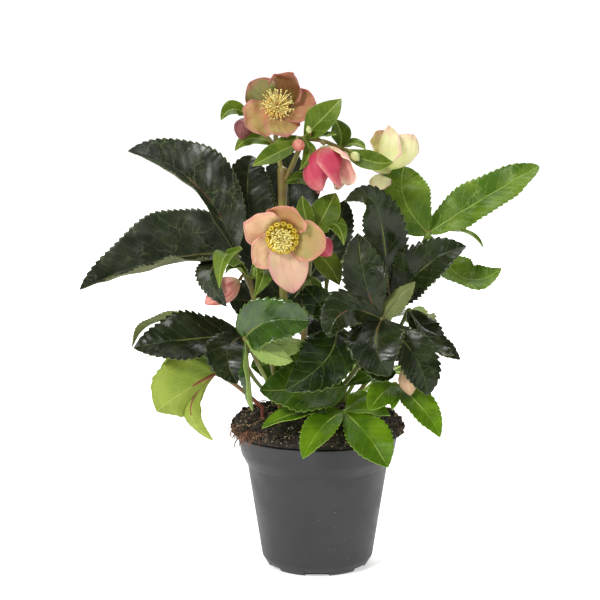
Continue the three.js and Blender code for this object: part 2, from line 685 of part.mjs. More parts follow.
// The middle surface at s along and t across: t is 0 on the rib, 1 or -1 on an edge, and past it on a tooth.
function bladePoint(blade, s, t) {
  const { up, across } = ribFrame(blade, s);
  const reach = Math.abs(t) * halfWidth(blade, s);
  const raised = radians(blade.fold + (blade.cup * Math.abs(t)) / 2);
  const phase = t > 0 ? WAVE_PHASE_RIGHT : WAVE_PHASE_LEFT;
  const ripple = blade.wave * t * t * Math.sin(2 * Math.PI * WAVE_COUNT * s + phase) * Math.sin(Math.PI * s);
  return ribPoint(blade, s)
    .addScaledVector(across, Math.sign(t) * reach * Math.cos(raised))
    .addScaledVector(up, reach * Math.sin(raised) + ripple);
}

function bladeNormal(blade, s, t) {
  if (t === 0) return ribFrame(blade, s).up;
  const near = THREE.MathUtils.clamp(s, NORMAL_STEP, 1 - NORMAL_STEP);
  const lengthwise = bladePoint(blade, near + NORMAL_STEP, t).sub(bladePoint(blade, near - NORMAL_STEP, t));
  const sideways = bladePoint(blade, near, t).sub(bladePoint(blade, near, t * (1 - NORMAL_STEP)));
  return sideways.multiplyScalar(Math.sign(t)).cross(lengthwise).normalize();
}

// One half of a blade, as rows of places [s, t] from the rib out to the edge, and the triangles between
// them. A toothed edge has one tooth in each cell but the first, and a rounded blade has its cells closer
// together at both ends.
function halfGrid(side, { cells, columns, toothed = false, rounded = false }) {
  const places = [];
  const grid = [];
  const along = (i) => (rounded ? (1 - Math.cos((Math.PI * i) / cells)) / 2 : i / cells);
  const place = (s, t) => places.push([s, side * t]) - 1;
  for (let i = 0; i <= cells; i += 1) {
    const ended = i === 0 || i === cells;
    const row = [];
    for (let c = 0; c <= columns; c += 1) row.push(place(along(i), c / (columns + 1)));
    row.push(place(along(i), toothed && !ended ? NOTCH_IN : 1));
    grid.push(row);
  }
  const teeth = [];
  for (let i = 1; toothed && i < cells; i += 1) teeth[i] = place((i + TOOTH_LEAN) / cells, TOOTH_OUT);
  const faces = [];
  for (let i = 0; i < cells; i += 1) {
    const [near, far] = [grid[i], grid[i + 1]];
    for (let c = 0; c < columns; c += 1) {
      faces.push([near[c], near[c + 1], far[c + 1]]);
      faces.push([near[c], far[c + 1], far[c]]);
    }
    const [a, b, d, e] = [near[columns], near[columns + 1], far[columns + 1], far[columns]];
    if (i in teeth) faces.push([a, b, teeth[i]], [a, teeth[i], e], [e, teeth[i], d]);
    else faces.push([a, b, e], [b, d, e]);
  }
  const edge = [];
  grid.forEach((row, i) => {
    edge.push(row[columns + 1]);
    if (i in teeth) edge.push(teeth[i]);
  });
  const border = [...grid[0].slice(0, -1), ...edge, ...grid[cells].slice(0, -1).reverse()];
  return { places, faces, border };
}

// A closed blade of even thickness. Both faces are split into the same triangles.
function bladeGeometry(blade, detail) {
  const corners = [];
  for (const side of [1, -1]) {
    const { places, faces, border } = halfGrid(side, detail);
    const layer = (offset) =>
      places.map(([s, t]) => bladePoint(blade, s, t).addScaledVector(bladeNormal(blade, s, t), offset));
    const [upper, lower] = [layer(BLADE_THICK / 2), layer(-BLADE_THICK / 2)];
    const emit = (a, b, c) => corners.push(...(side > 0 ? [a, b, c] : [c, b, a]));
    for (const [a, b, c] of faces) {
      emit(upper[a], upper[b], upper[c]);
      emit(lower[c], lower[b], lower[a]);
    }
    for (let k = 0; k < border.length - 1; k += 1) {
      const [a, b] = [border[k], border[k + 1]];
      emit(upper[b], upper[a], lower[a]);
      emit(upper[b], lower[a], lower[b]);
    }
  }
  return new THREE.BufferGeometry().setFromPoints(corners);
}

// ---- the pot ----
function potSolid() {
  const outside = [
    [0, 0],
    [FOOT_RADIUS, 0],
    [SHOULDER_RADIUS, SHOULDER_HEIGHT],
    [NECK_RADIUS, COLLAR_FOOT_HEIGHT],
    [NECK_RADIUS + COLLAR_STEP, COLLAR_FOOT_HEIGHT + COLLAR_STEP],
    [COLLAR_RADIUS, COLLAR_HEIGHT],
    [RIM_RADIUS, POT_HEIGHT],
  ];
  const inside = [
    [RIM_RADIUS - WALL, POT_HEIGHT],
    [COLLAR_RADIUS - WALL, COLLAR_HEIGHT],
    [NECK_RADIUS - WALL, COLLAR_FOOT_HEIGHT],
    [SHOULDER_RADIUS - WALL, SHOULDER_HEIGHT],
    [FOOT_RADIUS - WALL, FLOOR_THICK],
    [0, FLOOR_THICK],
  ];
  const profile = [...outside, ...inside].map(([r, z]) => new THREE.Vector2(r, z));
  let pot = solidOf(new THREE.LatheGeometry(profile, POT_SEGMENTS).rotateX(Math.PI / 2));
  for (let i = 0; i < DRAIN_COUNT; i += 1) {
    const notch = new THREE.BoxGeometry(DRAIN_DEPTH, DRAIN_WIDTH, 2 * DRAIN_HEIGHT)
      .translate(FOOT_RADIUS + DRAIN_DEPTH / 2 - DRAIN_INSET, 0, 0)
      .rotateZ(-Math.PI / 2 + (2 * Math.PI * i) / DRAIN_COUNT);
    pot = pot.subtract(solidOf(notch));
  }
  return pot;
}

// ---- the peat ----
// How far it stands out over the rim: most at both sides, less at the back, and not at all in front.
function overhang(angle) {
  const sideways = Math.abs(Math.cos(angle)) ** OVERHANG_FALL;
  return SIDE_OVERHANG * sideways + BACK_OVERHANG * Math.max(0, Math.sin(angle));
}

// The lumps of its top: a broad wave, and a finer one across it.
function lump(x, y) {
  const broad = 1.6 * Math.sin(0.19 * x + 1.3) * Math.cos(0.23 * y - 0.4);
  return broad + 0.9 * Math.sin(0.47 * x - 0.31 * y + 0.8);
}

// Each ring of the peat: its radius and height, and how much of the overhang and of the lumps it takes up.
const PEAT_RINGS = [
  { radius: 0, height: FLOOR_THICK + GAP, over: 0, lumpy: 0 },
  { radius: FOOT_RADIUS - WALL - PEAT_CLEAR, height: FLOOR_THICK + GAP, over: 0, lumpy: 0 },
  { radius: SHOULDER_RADIUS - WALL - PEAT_CLEAR, height: SHOULDER_HEIGHT + 0.4, over: 0, lumpy: 0 },
  { radius: NECK_RADIUS - WALL - PEAT_CLEAR, height: COLLAR_FOOT_HEIGHT + 0.2, over: 0, lumpy: 0 },
  { radius: RIM_RADIUS - WALL - PEAT_CLEAR, height: POT_HEIGHT + 0.4, over: 0, lumpy: 0 },
  { radius: RIM_RADIUS - WALL, height: POT_HEIGHT + 1.4, over: 0.8, lumpy: 0 },
  { radius: 62, height: 115, over: 1, lumpy: 0.4 },
  { radius: 58, height: 121.5, over: 0.9, lumpy: 1 },
  { radius: 46, height: 127, over: 0.2, lumpy: 1 },
  { radius: 25, height: PEAT_CROWN_HEIGHT - 1, over: 0, lumpy: 1 },
  { radius: 0, height: PEAT_CROWN_HEIGHT, over: 0, lumpy: 1 },
];

function peatSolid() {
  const profile = PEAT_RINGS.map(({ radius, height }) => new THREE.Vector2(radius, height));
  const turned = new THREE.LatheGeometry(profile, PEAT_SEGMENTS).rotateX(Math.PI / 2);
  const place = turned.attributes.position;
  for (let i = 0; i < place.count; i += 1) {
    const { over, lumpy } = PEAT_RINGS[i % PEAT_RINGS.length];
    const [x, y, z] = [place.getX(i), place.getY(i), place.getZ(i)];
    const radius = Math.hypot(x, y);
    const grown = radius > 0 ? (radius + over * overhang(Math.atan2(y, x))) / radius : 1;
    place.setXYZ(i, x * grown, y * grown, z + lumpy * lump(x, y));
  }
  let peat = solidOf(turned);
  const stands = [
    ...LEAVES.map(({ foot }) => ({ foot, radius: STALK_RADIUS })),
    ...STEMS.map(({ foot, shoots }) => ({ foot, radius: shoots[0].radius })),
  ];
  for (const { foot, radius } of stands) {
    const wide = (radius + GAP) / Math.cos(Math.PI / HOLE_SIDES);
    const hole = new THREE.CylinderGeometry(wide, wide, HOLE_LENGTH, HOLE_SIDES).rotateX(Math.PI / 2);
    peat = peat.subtract(solidOf(hole.translate(...foot, PLANTED_HEIGHT - GAP + HOLE_LENGTH / 2)));
  }
  return peat;
}

// ---- leaves ----
function cellsAlong({ wide }) {
  if (wide >= WIDE_LEAFLET) return 6;
  return wide > NARROW_LEAFLET ? 5 : 4;
}

function leafSolid({ foot, via, joint, leaflets }) {
  const parts = [
    limb(rooted(foot, [via, joint]), STALK_RADIUS),
    new THREE.OctahedronGeometry(KNUCKLE_RADIUS).translate(...joint),
  ];
  for (const leaflet of leaflets) {
    const blade = { ...LEAFLET_FORM, ...leaflet, rib: [joint, ...leaflet.rib] };
    const columns = leaflet.wide >= BROAD_LEAFLET ? 1 : 0;
    parts.push(bladeGeometry(blade, { cells: cellsAlong(leaflet), columns, toothed: true }));
  }
  return joined(parts);
}

// ---- flower stems ----
function stemSolid({ foot, shoots, bracts }) {
  const route = (path, i) => (i === 0 ? rooted(foot, path) : path.map(vec));
  const parts = shoots.map(({ path, radius }, i) => limb(route(path, i), radius));
  for (const bract of bracts) {
    const blade = { ...BRACT_FORM, ...bract };
    parts.push(bladeGeometry(blade, { cells: bract.wide > NARROW_BRACT ? 4 : 3, columns: 0 }));
  }
  return joined(parts);
}

// ---- blooms ----
function bloomFrame({ base, axis }) {
  const out = vec(axis).normalize();
  const right = new THREE.Vector3(0, 0, 1).cross(out).normalize();
  const over = new THREE.Vector3().crossVectors(out, right);
  return { base: vec(base), out, right, over };
}

// Moves a geometry built round the origin along +Z on to the bloom's axis, `rise` above its base.
function onBloom(geometry, bloom, rise) {
  const { base, out, right, over } = bloomFrame(bloom);
  const matrix = new THREE.Matrix4().makeBasis(right, over, out);
  matrix.setPosition(base.addScaledVector(out, rise));
  return geometry.applyMatrix4(matrix);
}

function sepalBlade(bloom, sepal) {
  const { base, out, right, over } = bloomFrame(bloom);
  const turn = radians(sepal.turn);
  const outward = right.multiplyScalar(Math.cos(turn)).addScaledVector(over, Math.sin(turn));
  const start = base.addScaledVector(out, CALYX_THICK / 2).addScaledVector(outward, SEPAL_ROOT);
  const reach = (share, degrees) =>
    start
      .clone()
      .addScaledVector(outward, share * sepal.long * Math.cos(radians(degrees)))
      .addScaledVector(out, share * sepal.long * Math.sin(radians(degrees)))
      .toArray();
  const rib = [start.toArray(), reach(0.5, sepal.belly), reach(1, sepal.lift)];
  const side = new THREE.Vector3().crossVectors(out, outward);
  const up = out.addScaledVector(outward, -SEPAL_TURN_OUT);
  up.addScaledVector(side, Math.tan(radians(sepal.roll)));
  return { ...SEPAL_FORM, ...sepal, rib, up: up.toArray() };
}

function sepalSolid(bloom) {
  const calyx = new THREE.CylinderGeometry(CALYX_RADIUS, CALYX_FOOT_RADIUS, CALYX_THICK, CALYX_SIDES);
  const parts = [onBloom(calyx.rotateX(Math.PI / 2), bloom, CALYX_THICK / 2)];
  const columns = bloom.nectaries ? 1 : 0; // the sepals of an open bloom are curved across
  for (const sepal of bloom.sepals) {
    parts.push(bladeGeometry(sepalBlade(bloom, sepal), { cells: SEPAL_CELLS, columns, rounded: true }));
  }
  return joined(parts);
}

// Stamens fan out from a small core, from `nearest` to `widest` degrees off the axis. The core reaches down
// to the calyx.
function stamenSolid(bloom) {
  const { count, long, nearest, widest, rise } = bloom.stamens;
  const stretch = (rise - CALYX_THICK - GAP) / CORE_RADIUS;
  const parts = [new THREE.OctahedronGeometry(CORE_RADIUS).scale(1, 1, stretch)];
  for (let i = 0; i < count; i += 1) {
    const lean = radians(nearest + (widest - nearest) * Math.sqrt(i / (count - 1)));
    const stamen = new THREE.CylinderGeometry(ANTHER_RADIUS, FILAMENT_RADIUS, long, 3);
    stamen.rotateX(Math.PI / 2).translate(0, 0, CORE_RADIUS - CORE_SUNK + long / 2);
    parts.push(stamen.rotateY(lean).rotateZ(i * GOLDEN_ANGLE));
  }
  return joined(parts.map((part) => onBloom(part, bloom, rise)));
}

// Nectaries are small trumpets in a ring round the stamens. The ring is a cone, with a lobe for each.
function nectarySolid(bloom) {
  const { count, inner, outer, rise, deep } = bloom.nectaries;
  const profile = [
    [inner, 0],
    [inner + NECTARY_WALL, -NECTARY_WALL],
    [outer + LIP_WALL, deep - LIP_DROP],
    [outer, deep],
    [inner, 0],
  ];
  const ring = new THREE.LatheGeometry(profile.map(([r, z]) => new THREE.Vector2(r, z)), 2 * count);
  ring.rotateX(Math.PI / 2);
  const place = ring.attributes.position;
  for (let i = 0; i < place.count; i += 1) {
    const lobe = Math.floor(i / profile.length) % 2 === 0 ? LOBE_OUT : 1;
    const [x, y] = [place.getX(i), place.getY(i)];
    if (Math.hypot(x, y) > inner + 1.5 * NECTARY_WALL) place.setXY(i, x * lobe, y * lobe);
  }
  return solidOf(onBloom(ring, bloom, rise));
}

// ---- buds ----
// An egg with the sepals furled round it: every third line of it stands a little proud of the others.
function budSolid(bud) {
  const profile = [];
  for (let i = 0; i <= BUD_RINGS; i += 1) {
    const share = i / BUD_RINGS;
    const round = i % BUD_RINGS === 0 ? 0 : Math.sin(Math.PI * share ** BUD_LOW) ** BUD_FULLNESS;
    profile.push(new THREE.Vector2((bud.wide / 2) * round, share * bud.long));
  }
  const egg = new THREE.LatheGeometry(profile, BUD_SEGMENTS).rotateX(Math.PI / 2);
  const place = egg.attributes.position;
  for (let i = 0; i < place.count; i += 1) {
    const line = Math.floor(i / profile.length) % BUD_SEGMENTS;
    const furl = 1 + BUD_FURL * ((line % 3) - 1);
    place.setXY(i, place.getX(i) * furl, place.getY(i) * furl);
  }
  return solidOf(onBloom(egg, bud, GAP));
}

// ---- the whole plant ----
const plant = new THREE.Group();
plant.add(meshOf("pot", potSolid(), ...TONES.pot));
plant.add(meshOf("peat", peatSolid(), ...TONES.peat));
for (const leaf of LEAVES) plant.add(meshOf(leaf.name, leafSolid(leaf), ...TONES[leaf.tone]));
for (const stem of STEMS) plant.add(meshOf(stem.name, stemSolid(stem), ...TONES.stem));
for (const bloom of BLOOMS) {
  plant.add(meshOf(`${bloom.name}_sepals`, sepalSolid(bloom), bloom.tone, PETAL_ROUGHNESS));
  plant.add(meshOf(`${bloom.name}_stamens`, stamenSolid(bloom), ...TONES.anther));
  if (bloom.nectaries) plant.add(meshOf(`${bloom.name}_nectaries`, nectarySolid(bloom), ...TONES.nectary));
}
for (const bud of BUDS) plant.add(meshOf(bud.name, budSolid(bud), bud.tone, PETAL_ROUGHNESS));

export default plant;
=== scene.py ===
"""A flowering hellebore in its nursery pot: the looks, built over the CAD part of the same plant.

Measures are those of the part, in millimetres, +Z up, with the plant's front towards -Y.
"""

import math

import bpy
import numpy as np
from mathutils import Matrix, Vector


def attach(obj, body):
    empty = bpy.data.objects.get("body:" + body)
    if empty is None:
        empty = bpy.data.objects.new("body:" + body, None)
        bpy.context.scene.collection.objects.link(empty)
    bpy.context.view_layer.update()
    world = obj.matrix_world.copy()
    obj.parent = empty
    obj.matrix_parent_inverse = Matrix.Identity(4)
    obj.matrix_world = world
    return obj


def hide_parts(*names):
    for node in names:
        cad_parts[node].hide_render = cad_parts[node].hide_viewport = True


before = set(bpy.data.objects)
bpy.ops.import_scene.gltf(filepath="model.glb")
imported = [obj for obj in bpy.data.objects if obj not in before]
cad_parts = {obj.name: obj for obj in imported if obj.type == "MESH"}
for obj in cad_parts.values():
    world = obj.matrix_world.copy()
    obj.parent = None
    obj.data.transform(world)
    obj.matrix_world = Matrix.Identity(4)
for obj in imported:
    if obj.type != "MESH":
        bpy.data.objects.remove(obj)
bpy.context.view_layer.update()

MM = 0.001
FULL_TURN = 2 * math.pi
GOLDEN_ANGLE = math.pi * (3 - math.sqrt(5))

# ---- the plant ----
# A blade's form. `lean` under 1 moves its widest place towards the foot, and a low `fullness` blunts its
# ends. `fold` and `cup` raise its halves, in degrees, and `wave` lifts its edges by so many mm.
LEAFLET_FORM = dict(lean=1, fullness=0.8, fold=14, cup=8, wave=2)
BRACT_FORM = dict(lean=0.95, fullness=0.9, fold=14, cup=8, wave=0.6)
SEPAL_FORM = dict(lean=1.08, fullness=0.54)


def leaflet(rib, wide, up, **form):
    """A leaflet: its rib's points past the end of the stalk, its width, and where its upper face looks."""
    return {**LEAFLET_FORM, "rib": rib, "wide": wide, "up": up, **form}


def bract(rib, wide, up, **form):
    """A bract: all its rib's points, its width, and where its upper face looks."""
    return {**BRACT_FORM, "rib": rib, "wide": wide, "up": up, **form}


# Each leaf: its name and tone, its stalk's foot, bend and end, and its leaflets.
LEAVES = [
    ("leaf_west_high", "veined", (-16, 10), (-38, 4, 190), (-66, -5, 256), [
        leaflet([(-98, 15, 309), (-153, 25, 335)], 63, (0.5, -0.6, 0.6),
                curl=(-1, 0.08), fold=32, cup=10),
        leaflet([(-125, -12, 251), (-188, -25, 230)], 80, (-0.13, -0.65, 0.75),
                curl=(-1, 0.2), lean=0.65, fold=38, wave=3),
        leaflet([(-83, -46, 248), (-70, -67, 224)], 23, (-0.3, -0.8, 0.4), cup=10, wave=1),
    ]),
    # leaf_centre_back and leaf_west_low take the shade tone, which is painted shade
    ("leaf_centre_back", "shade", (-10, 18), (-18, 28, 165), (-28, 32, 203), [
        leaflet([(-54, 32, 276), (-54, 40, 330)], 44, (0.1, -0.9, 0.3), lean=1.3, fullness=0.55, fold=12),
        leaflet([(-24, 54, 270), (-28, 66, 333)], 54, (0.05, -0.95, 0.3),
                lean=1.3, fullness=0.6, fold=12),
        leaflet([(8, 38, 254), (22, 46, 293)], 34, (-0.2, -0.9, 0.4), lean=1.1, fold=12),
        leaflet([(-55, 22, 213), (-72, 20, 213)], 36, (0, -0.9, 0.3), lean=0.9, fullness=0.6),
        leaflet([(0, 20, 204), (24, 18, 216)], 40, (0, -0.9, 0.3), lean=0.9, fullness=0.6),
    ]),
    ("leaf_west_low", "shade", (-24, -10), (-40, -16, 160), (-59, -25, 193), [
        leaflet([(-104, -40, 193), (-144, -45, 187)], 45, (-0.1, -0.75, 0.65), lean=0.9, fold=12),
        leaflet([(-70, -58, 186), (-62, -70, 164)], 34, (0, -0.9, 0.4),
                lean=1.1, fold=10, cup=10, wave=1),
        leaflet([(-122, 6, 201), (-150, 5, 178)], 18, (-0.3, 0.3, 0.9), fold=24, cup=12),
    ]),
    ("leaf_west_pale", "pale", (-44, -20), (-66, -26, 154), (-80, -30, 164), [
        leaflet([(-104, -46, 154), (-126, -52, 138)], 54, (0, 0.9, 0.3),
                lean=1.1, fullness=0.7, cup=14, wave=3),
        leaflet([(-100, -42, 138), (-82, -46, 113)], 16, (0.2, 0.8, 0.3),
                lean=1.2, fold=16, cup=10, wave=1),
        leaflet([(-103, -8, 170), (-129, 5, 153)], 33, (0, -0.5, 0.85), lean=1.3, fold=12),
    ]),
    ("leaf_front_mid", "mid", (-14, -20), (-36, -52, 158), (-56, -62, 198), [
        leaflet([(-38, -78, 214), (-7, -74, 214)], 38, (-0.1, -0.93, 0.35),
                lean=0.85, fullness=0.45, fold=18),
        leaflet([(-36, -82, 191), (-19, -84, 185)], 18, (0.1, 0.7, -0.6), fold=10, cup=10, wave=1),
        leaflet([(-33, -68, 194), (-8, -60, 196)], 22, (0.1, 0.7, -0.6), fold=8, wave=1),
        leaflet([(-53, -78, 174), (-50, -80, 145)], 16, (-0.9, -0.3, 0.2),
                lean=1.3, fold=40, cup=10, wave=1),
    ]),
    ("leaf_front_dark", "deep", (2, -22), (5, -17, 168), (14, -40, 204), [
        leaflet([(7, -66, 183), (-25, -76, 160)], 44, (0.1, -0.85, 0.5), lean=0.95, fold=12),
        leaflet([(42, -50, 176), (61, -52, 170)], 24, (0.1, -0.8, 0.6), lean=1.2, fold=10, wave=1),
        leaflet([(2, -50, 222), (-10, -46, 236)], 24, (-0.2, -0.8, 0.5), lean=1.3, wave=1),
    ]),
    ("leaf_front_low", "lush", (14, -8), (20, -16, 140), (22, -26, 152), [
        leaflet([(-13, -53, 156), (-45, -62, 157)], 45, (0, -0.8, 0.6), lean=0.9, fold=12, cup=6),
        leaflet([(-20, -26, 169), (-53, -25, 168)], 40, (0, -0.95, 0.25),
                lean=1.1, fold=10, cup=6, wave=1),
        leaflet([(42, -30, 162), (54, -30, 160)], 20, (0, -0.6, 0.8), lean=1.2, wave=1),
    ]),
    ("leaf_rim_front", "bright", (28, -22), (27, -34, 138), (21, -45, 136), [
        leaflet([(-14, -58, 139), (-43, -70, 129)], 20, (0, -0.4, 0.9), lean=1.1, cup=4, wave=1),
        leaflet([(4, -73, 131), (-11, -94, 111)], 26, (0, -0.5, 0.85), lean=1.2, cup=4, wave=1),
        leaflet([(39, -71, 123), (54, -90, 103)], 34, (-0.1, -0.6, 0.8),
                lean=1.1, fold=10, cup=4, wave=1),
        leaflet([(40, -49, 139), (57, -48, 134)], 18, (0, -0.4, 0.9), lean=1.2, cup=4, wave=1),
        leaflet([(32, -32, 143), (43, -22, 145)], 16, (0, -0.5, 0.85), lean=1.2, cup=4, wave=1),
    ]),
    ("leaf_east_arch", "dark", (10, 6), (34, 4, 165), (60, -8, 212), [
        leaflet([(54, -18, 253), (46, -26, 295), (21, -32, 301)], 36, (0.1, -0.85, 0.5),
                lean=0.85, cup=10, wave=3),
        leaflet([(83, -28, 248), (116, -32, 266)], 40, (0, -0.8, 0.6), lean=0.95, fold=18),
        leaflet([(78, 3, 228), (94, 3, 231)], 13, (0, -0.5, 0.8), lean=1.2, fold=16, wave=1),
    ]),
    ("leaf_east_mid", "dark", (0, -6), (24, -24, 165), (50, -44, 210), [
        leaflet([(38, -45, 236), (31, -37, 277)], 35, (0, -0.95, 0.3), lean=1.4),
        leaflet([(22, -58, 219), (9, -64, 199)], 34, (-0.2, -0.8, 0.5), lean=1.15),
        leaflet([(45, -72, 193), (56, -80, 173)], 46, (-0.1, -0.8, 0.6), lean=0.8, fold=16),
        leaflet([(75, -60, 184), (85, -66, 154)], 34, (0.2, -0.85, 0.45), lean=1.15, fold=12, cup=10),
        leaflet([(61, -44, 224), (76, -40, 239)], 17, (0.2, 0.7, -0.4), fold=8, wave=1),
    ]),
    ("leaf_east_bright", "fresh", (22, 10), (54, 16, 190), (89, 15, 270), [
        leaflet([(69.5, 10, 297), (69.5, 24, 323)], 44, (-0.1, -0.9, 0.3),
                lean=1.15, fullness=0.5, fold=8, cup=10),
        leaflet([(131, 20, 296), (178, 25, 323)], 38, (-0.3, -0.75, 0.6),
                lean=0.95, fullness=0.55, fold=12, cup=6),
        leaflet([(115, -8, 238), (146, -8, 245)], 32, (0.1, -0.6, 0.8), lean=1.1, fold=16, cup=6, wave=3),
        leaflet([(118, 35, 269), (136, 45, 254)], 12, (0, -0.4, 0.9), fold=16, cup=6, wave=1),
    ]),
    ("leaf_east_back", "dark", (30, 14), (52, 18, 165), (74, 18, 206), [
        leaflet([(92, 6, 185), (115, 2, 169)], 25, (0.2, -0.6, 0.7),
                lean=0.75, fullness=0.65, fold=16, cup=10),
        leaflet([(93, -14, 184), (108, -24, 178)], 14, (0.3, -0.5, 0.8), lean=1.3, fold=20),
        leaflet([(84, 44, 194), (88, 72, 172)], 26, (0, 0.1, 1), lean=1.35, cup=6),
    ]),
    ("leaf_east_low", "bright", (34, -8), (46, -20, 144), (61, -34, 156), [
        leaflet([(50, -56, 153), (40, -66, 142)], 22, (0, -0.8, 0.5), fold=12, cup=6, wave=1),
        leaflet([(80, -58, 144), (95, -70, 122)], 25, (0.2, -0.8, 0.5), fold=12, cup=6, wave=1),
        leaflet([(60, -55, 151), (58, -66, 143)], 10, (0, -0.8, 0.5), fold=16, cup=6, wave=1),
    ]),
    ("leaf_back_west", "dark", (-24, 22), (-44, 50, 180), (-56, 64, 222), [
        leaflet([(-88, 76, 250), (-122, 84, 252)], 40, (-0.1, 0.1, 1), lean=1.3, cup=6),
        leaflet([(-66, 96, 240), (-78, 128, 230)], 40, (0, 0.3, 0.9), lean=1.3, cup=6),
        leaflet([(-38, 90, 236), (-26, 116, 226)], 40, (0.2, 0.3, 0.9), lean=1.3, cup=6),
    ]),
    ("leaf_back", "dark", (0, 28), (4, 60, 180), (8, 76, 226), [
        leaflet([(-8, 88, 262), (-22, 102, 290)], 40, (-0.1, 0.6, 0.7), lean=1.3, cup=6),
        leaflet([(14, 106, 246), (18, 136, 240)], 40, (0, 0.3, 0.9), lean=1.3, cup=6),
        leaflet([(34, 90, 244), (56, 106, 246)], 38, (0.1, 0.3, 0.9), lean=1.3, cup=6),
    ]),
    ("leaf_back_east", "mid", (14, 22), (36, 50, 156), (50, 66, 184), [
        leaflet([(72, 86, 192), (92, 104, 178)], 38, (0.2, 0.2, 0.9), lean=1.3, cup=6),
        leaflet([(50, 98, 200), (50, 130, 188)], 40, (0, 0.3, 0.9), lean=1.3, cup=6),
    ]),
    ("leaf_back_low", "bright", (30, 26), (42, 46, 136), (52, 58, 144), [
        leaflet([(64, 76, 148), (74, 96, 134)], 30, (0.2, 0.3, 0.9), lean=1.3, cup=6, wave=1),
        leaflet([(40, 78, 148), (30, 100, 134)], 30, (-0.1, 0.3, 0.9), lean=1.3, cup=6, wave=1),
        leaflet([(70, 50, 147), (88, 44, 136)], 26, (0.3, 0, 0.9), lean=1.3, cup=6, wave=1),
    ]),
    ("leaf_back_low_west", "mid", (-36, 8), (-52, 32, 146), (-62, 48, 160), [
        leaflet([(-76, 66, 168), (-88, 90, 152)], 36, (-0.2, 0.3, 0.9), lean=1.3, cup=6, wave=1),
        leaflet([(-50, 72, 166), (-42, 98, 150)], 36, (0.1, 0.3, 0.9), lean=1.3, cup=6, wave=1),
    ]),
]

# Each flower stem: its name and foot, its shoots with their radius and path, and its bracts.
STEMS = [
    ("stem_tall", (-26, 0), [
        (3.4, [(-27, -1, 200), (-28, -3, 260), (-28, -5, 324)]),
        (2, [(-28, -5, 320), (-33, -1, 341), (-33, -2, 359), (-32, -8, 369.5)]),
        (2.1, [(-27, -5, 312), (-19, -11, 330), (-11, -20, 350)]),
        (1.6, [(-12, -19, 349), (4, -17, 347), (18, -15, 341)]),
        (1.5, [(17, -15, 341.5), (34, -4, 334), (45.5, 3.5, 327), (52.2, -1.2, 320)]),
        (1.4, [(-33, -1, 341), (-46, 3, 353), (-57, -1, 366)]),
        (1.4, [(-11, -20, 349), (-3, -26, 351), (5, -31, 346)]),
        (1.1, [(-12, -20, 349), (-16, -28, 351), (-15.5, -33, 349)]),
        (1, [(18, -15, 341), (23, -24, 341), (26, -29, 339.6)]),
        (0.9, [(-4, -25, 350.5), (-6.2, -32.6, 354)]),
    ], [
        bract([(-11, -20, 350.5), (3, -30, 365), (18, -18, 380)], 25, (-0.3, -0.9, 0.3), cup=10),
        bract([(17, -15, 342), (18, -11, 352), (13, -3, 363)], 17, (0, -0.9, 0.3), fold=12),
        bract([(-3, -26, 351), (5, -34, 353), (14, -40, 354)], 8, (0, -0.6, 0.8), fold=16),
        bract([(-13, -21, 347), (-33, -43, 339), (-50, -52, 331)], 17, (0, -0.8, 0.6)),
        bract([(-12, -19, 350), (-26, -23, 347), (-38, -22, 341)], 9, (0, -0.8, 0.6), fold=16),
        bract([(-11, -21, 348.5), (-7, -33, 339), (-14, -43, 327)], 11, (0.2, -0.8, 0.5), fold=16),
        bract([(18, -16, 340.5), (42, -30, 332), (58, -42, 333)], 17, (0, -0.9, 0.4)),
        bract([(18, -15, 341.5), (29, -17, 345), (37, -24, 341)], 10, (0, -0.6, 0.8)),
        bract([(-56.5, -1, 365.5), (-67, -6, 371), (-76, -14, 363)], 15, (-0.2, -0.8, 0.5)),
        bract([(-33, -1, 341), (-52, 6, 347), (-66, 6, 337)], 14.5, (0, -0.8, 0.6)),
        bract([(-27, -5, 312), (-13, -14, 317), (1, -16, 310)], 12, (0, -0.8, 0.6)),
    ]),
    ("stem_short", (-14, -8), [
        (2.5, [(-11, -14, 190), (-8, -24, 240), (-4, -35, 276)]),
        (1.7, [(-4, -34, 274), (-12, -40, 283), (-21, -50, 286), (-26.3, -59.3, 280.2)]),
        (1.2, [(-4, -35, 273), (-2, -40, 273.5)]),
    ], [
        bract([(-5, -35, 275), (-10, -46, 293), (-12, -46, 307)], 14, (0, -0.9, 0.3), fold=12),
        bract([(-3, -34, 275), (6, -36, 293), (14, -26, 307)], 24, (0, -0.9, 0.4), fold=10),
        bract([(-2.5, -35, 275), (13, -41, 284), (20, -53, 270)], 16, (0.2, -0.8, 0.6), fold=10),
        bract([(-5, -31, 263), (8, -36, 252), (17, -38, 236)], 20, (0.1, -0.9, 0.4), fold=10),
        bract([(-8, -24, 240), (-4, -40, 232), (-4, -44, 211)], 16, (0, -0.9, 0.4), fold=10),
    ]),
    ("stem_west", (-30, -24), [
        (1.8, [(-34, -48, 167), (-44, -45, 205), (-54, -44, 243)]),
        (1.3, [(-53.5, -44, 241), (-58, -45.5, 245), (-60.5, -46.5, 241.6)]),
    ], [
        bract([(-54, -44.5, 242), (-69, -66, 264), (-75, -77, 240)], 21, (-0.5, -0.7, 0.5)),
        bract([(-54.5, -44.5, 243), (-64, -60, 254), (-71, -63, 249)], 8, (0, -0.5, 0.9), cup=10),
        bract([(-53, -44.5, 243), (-46, -57, 252), (-39, -60, 254)], 12, (0, -0.8, 0.5), cup=10),
        bract([(-53, -45, 242), (-42, -58, 249), (-49, -67, 231)], 17, (0.4, -0.8, 0.4), fold=20, cup=10),
    ]),
    ("stem_east_low", (24, -6), [
        (1.5, [(46, -14, 160), (66, -36, 182), (68, -51, 174)]),
    ], []),
]

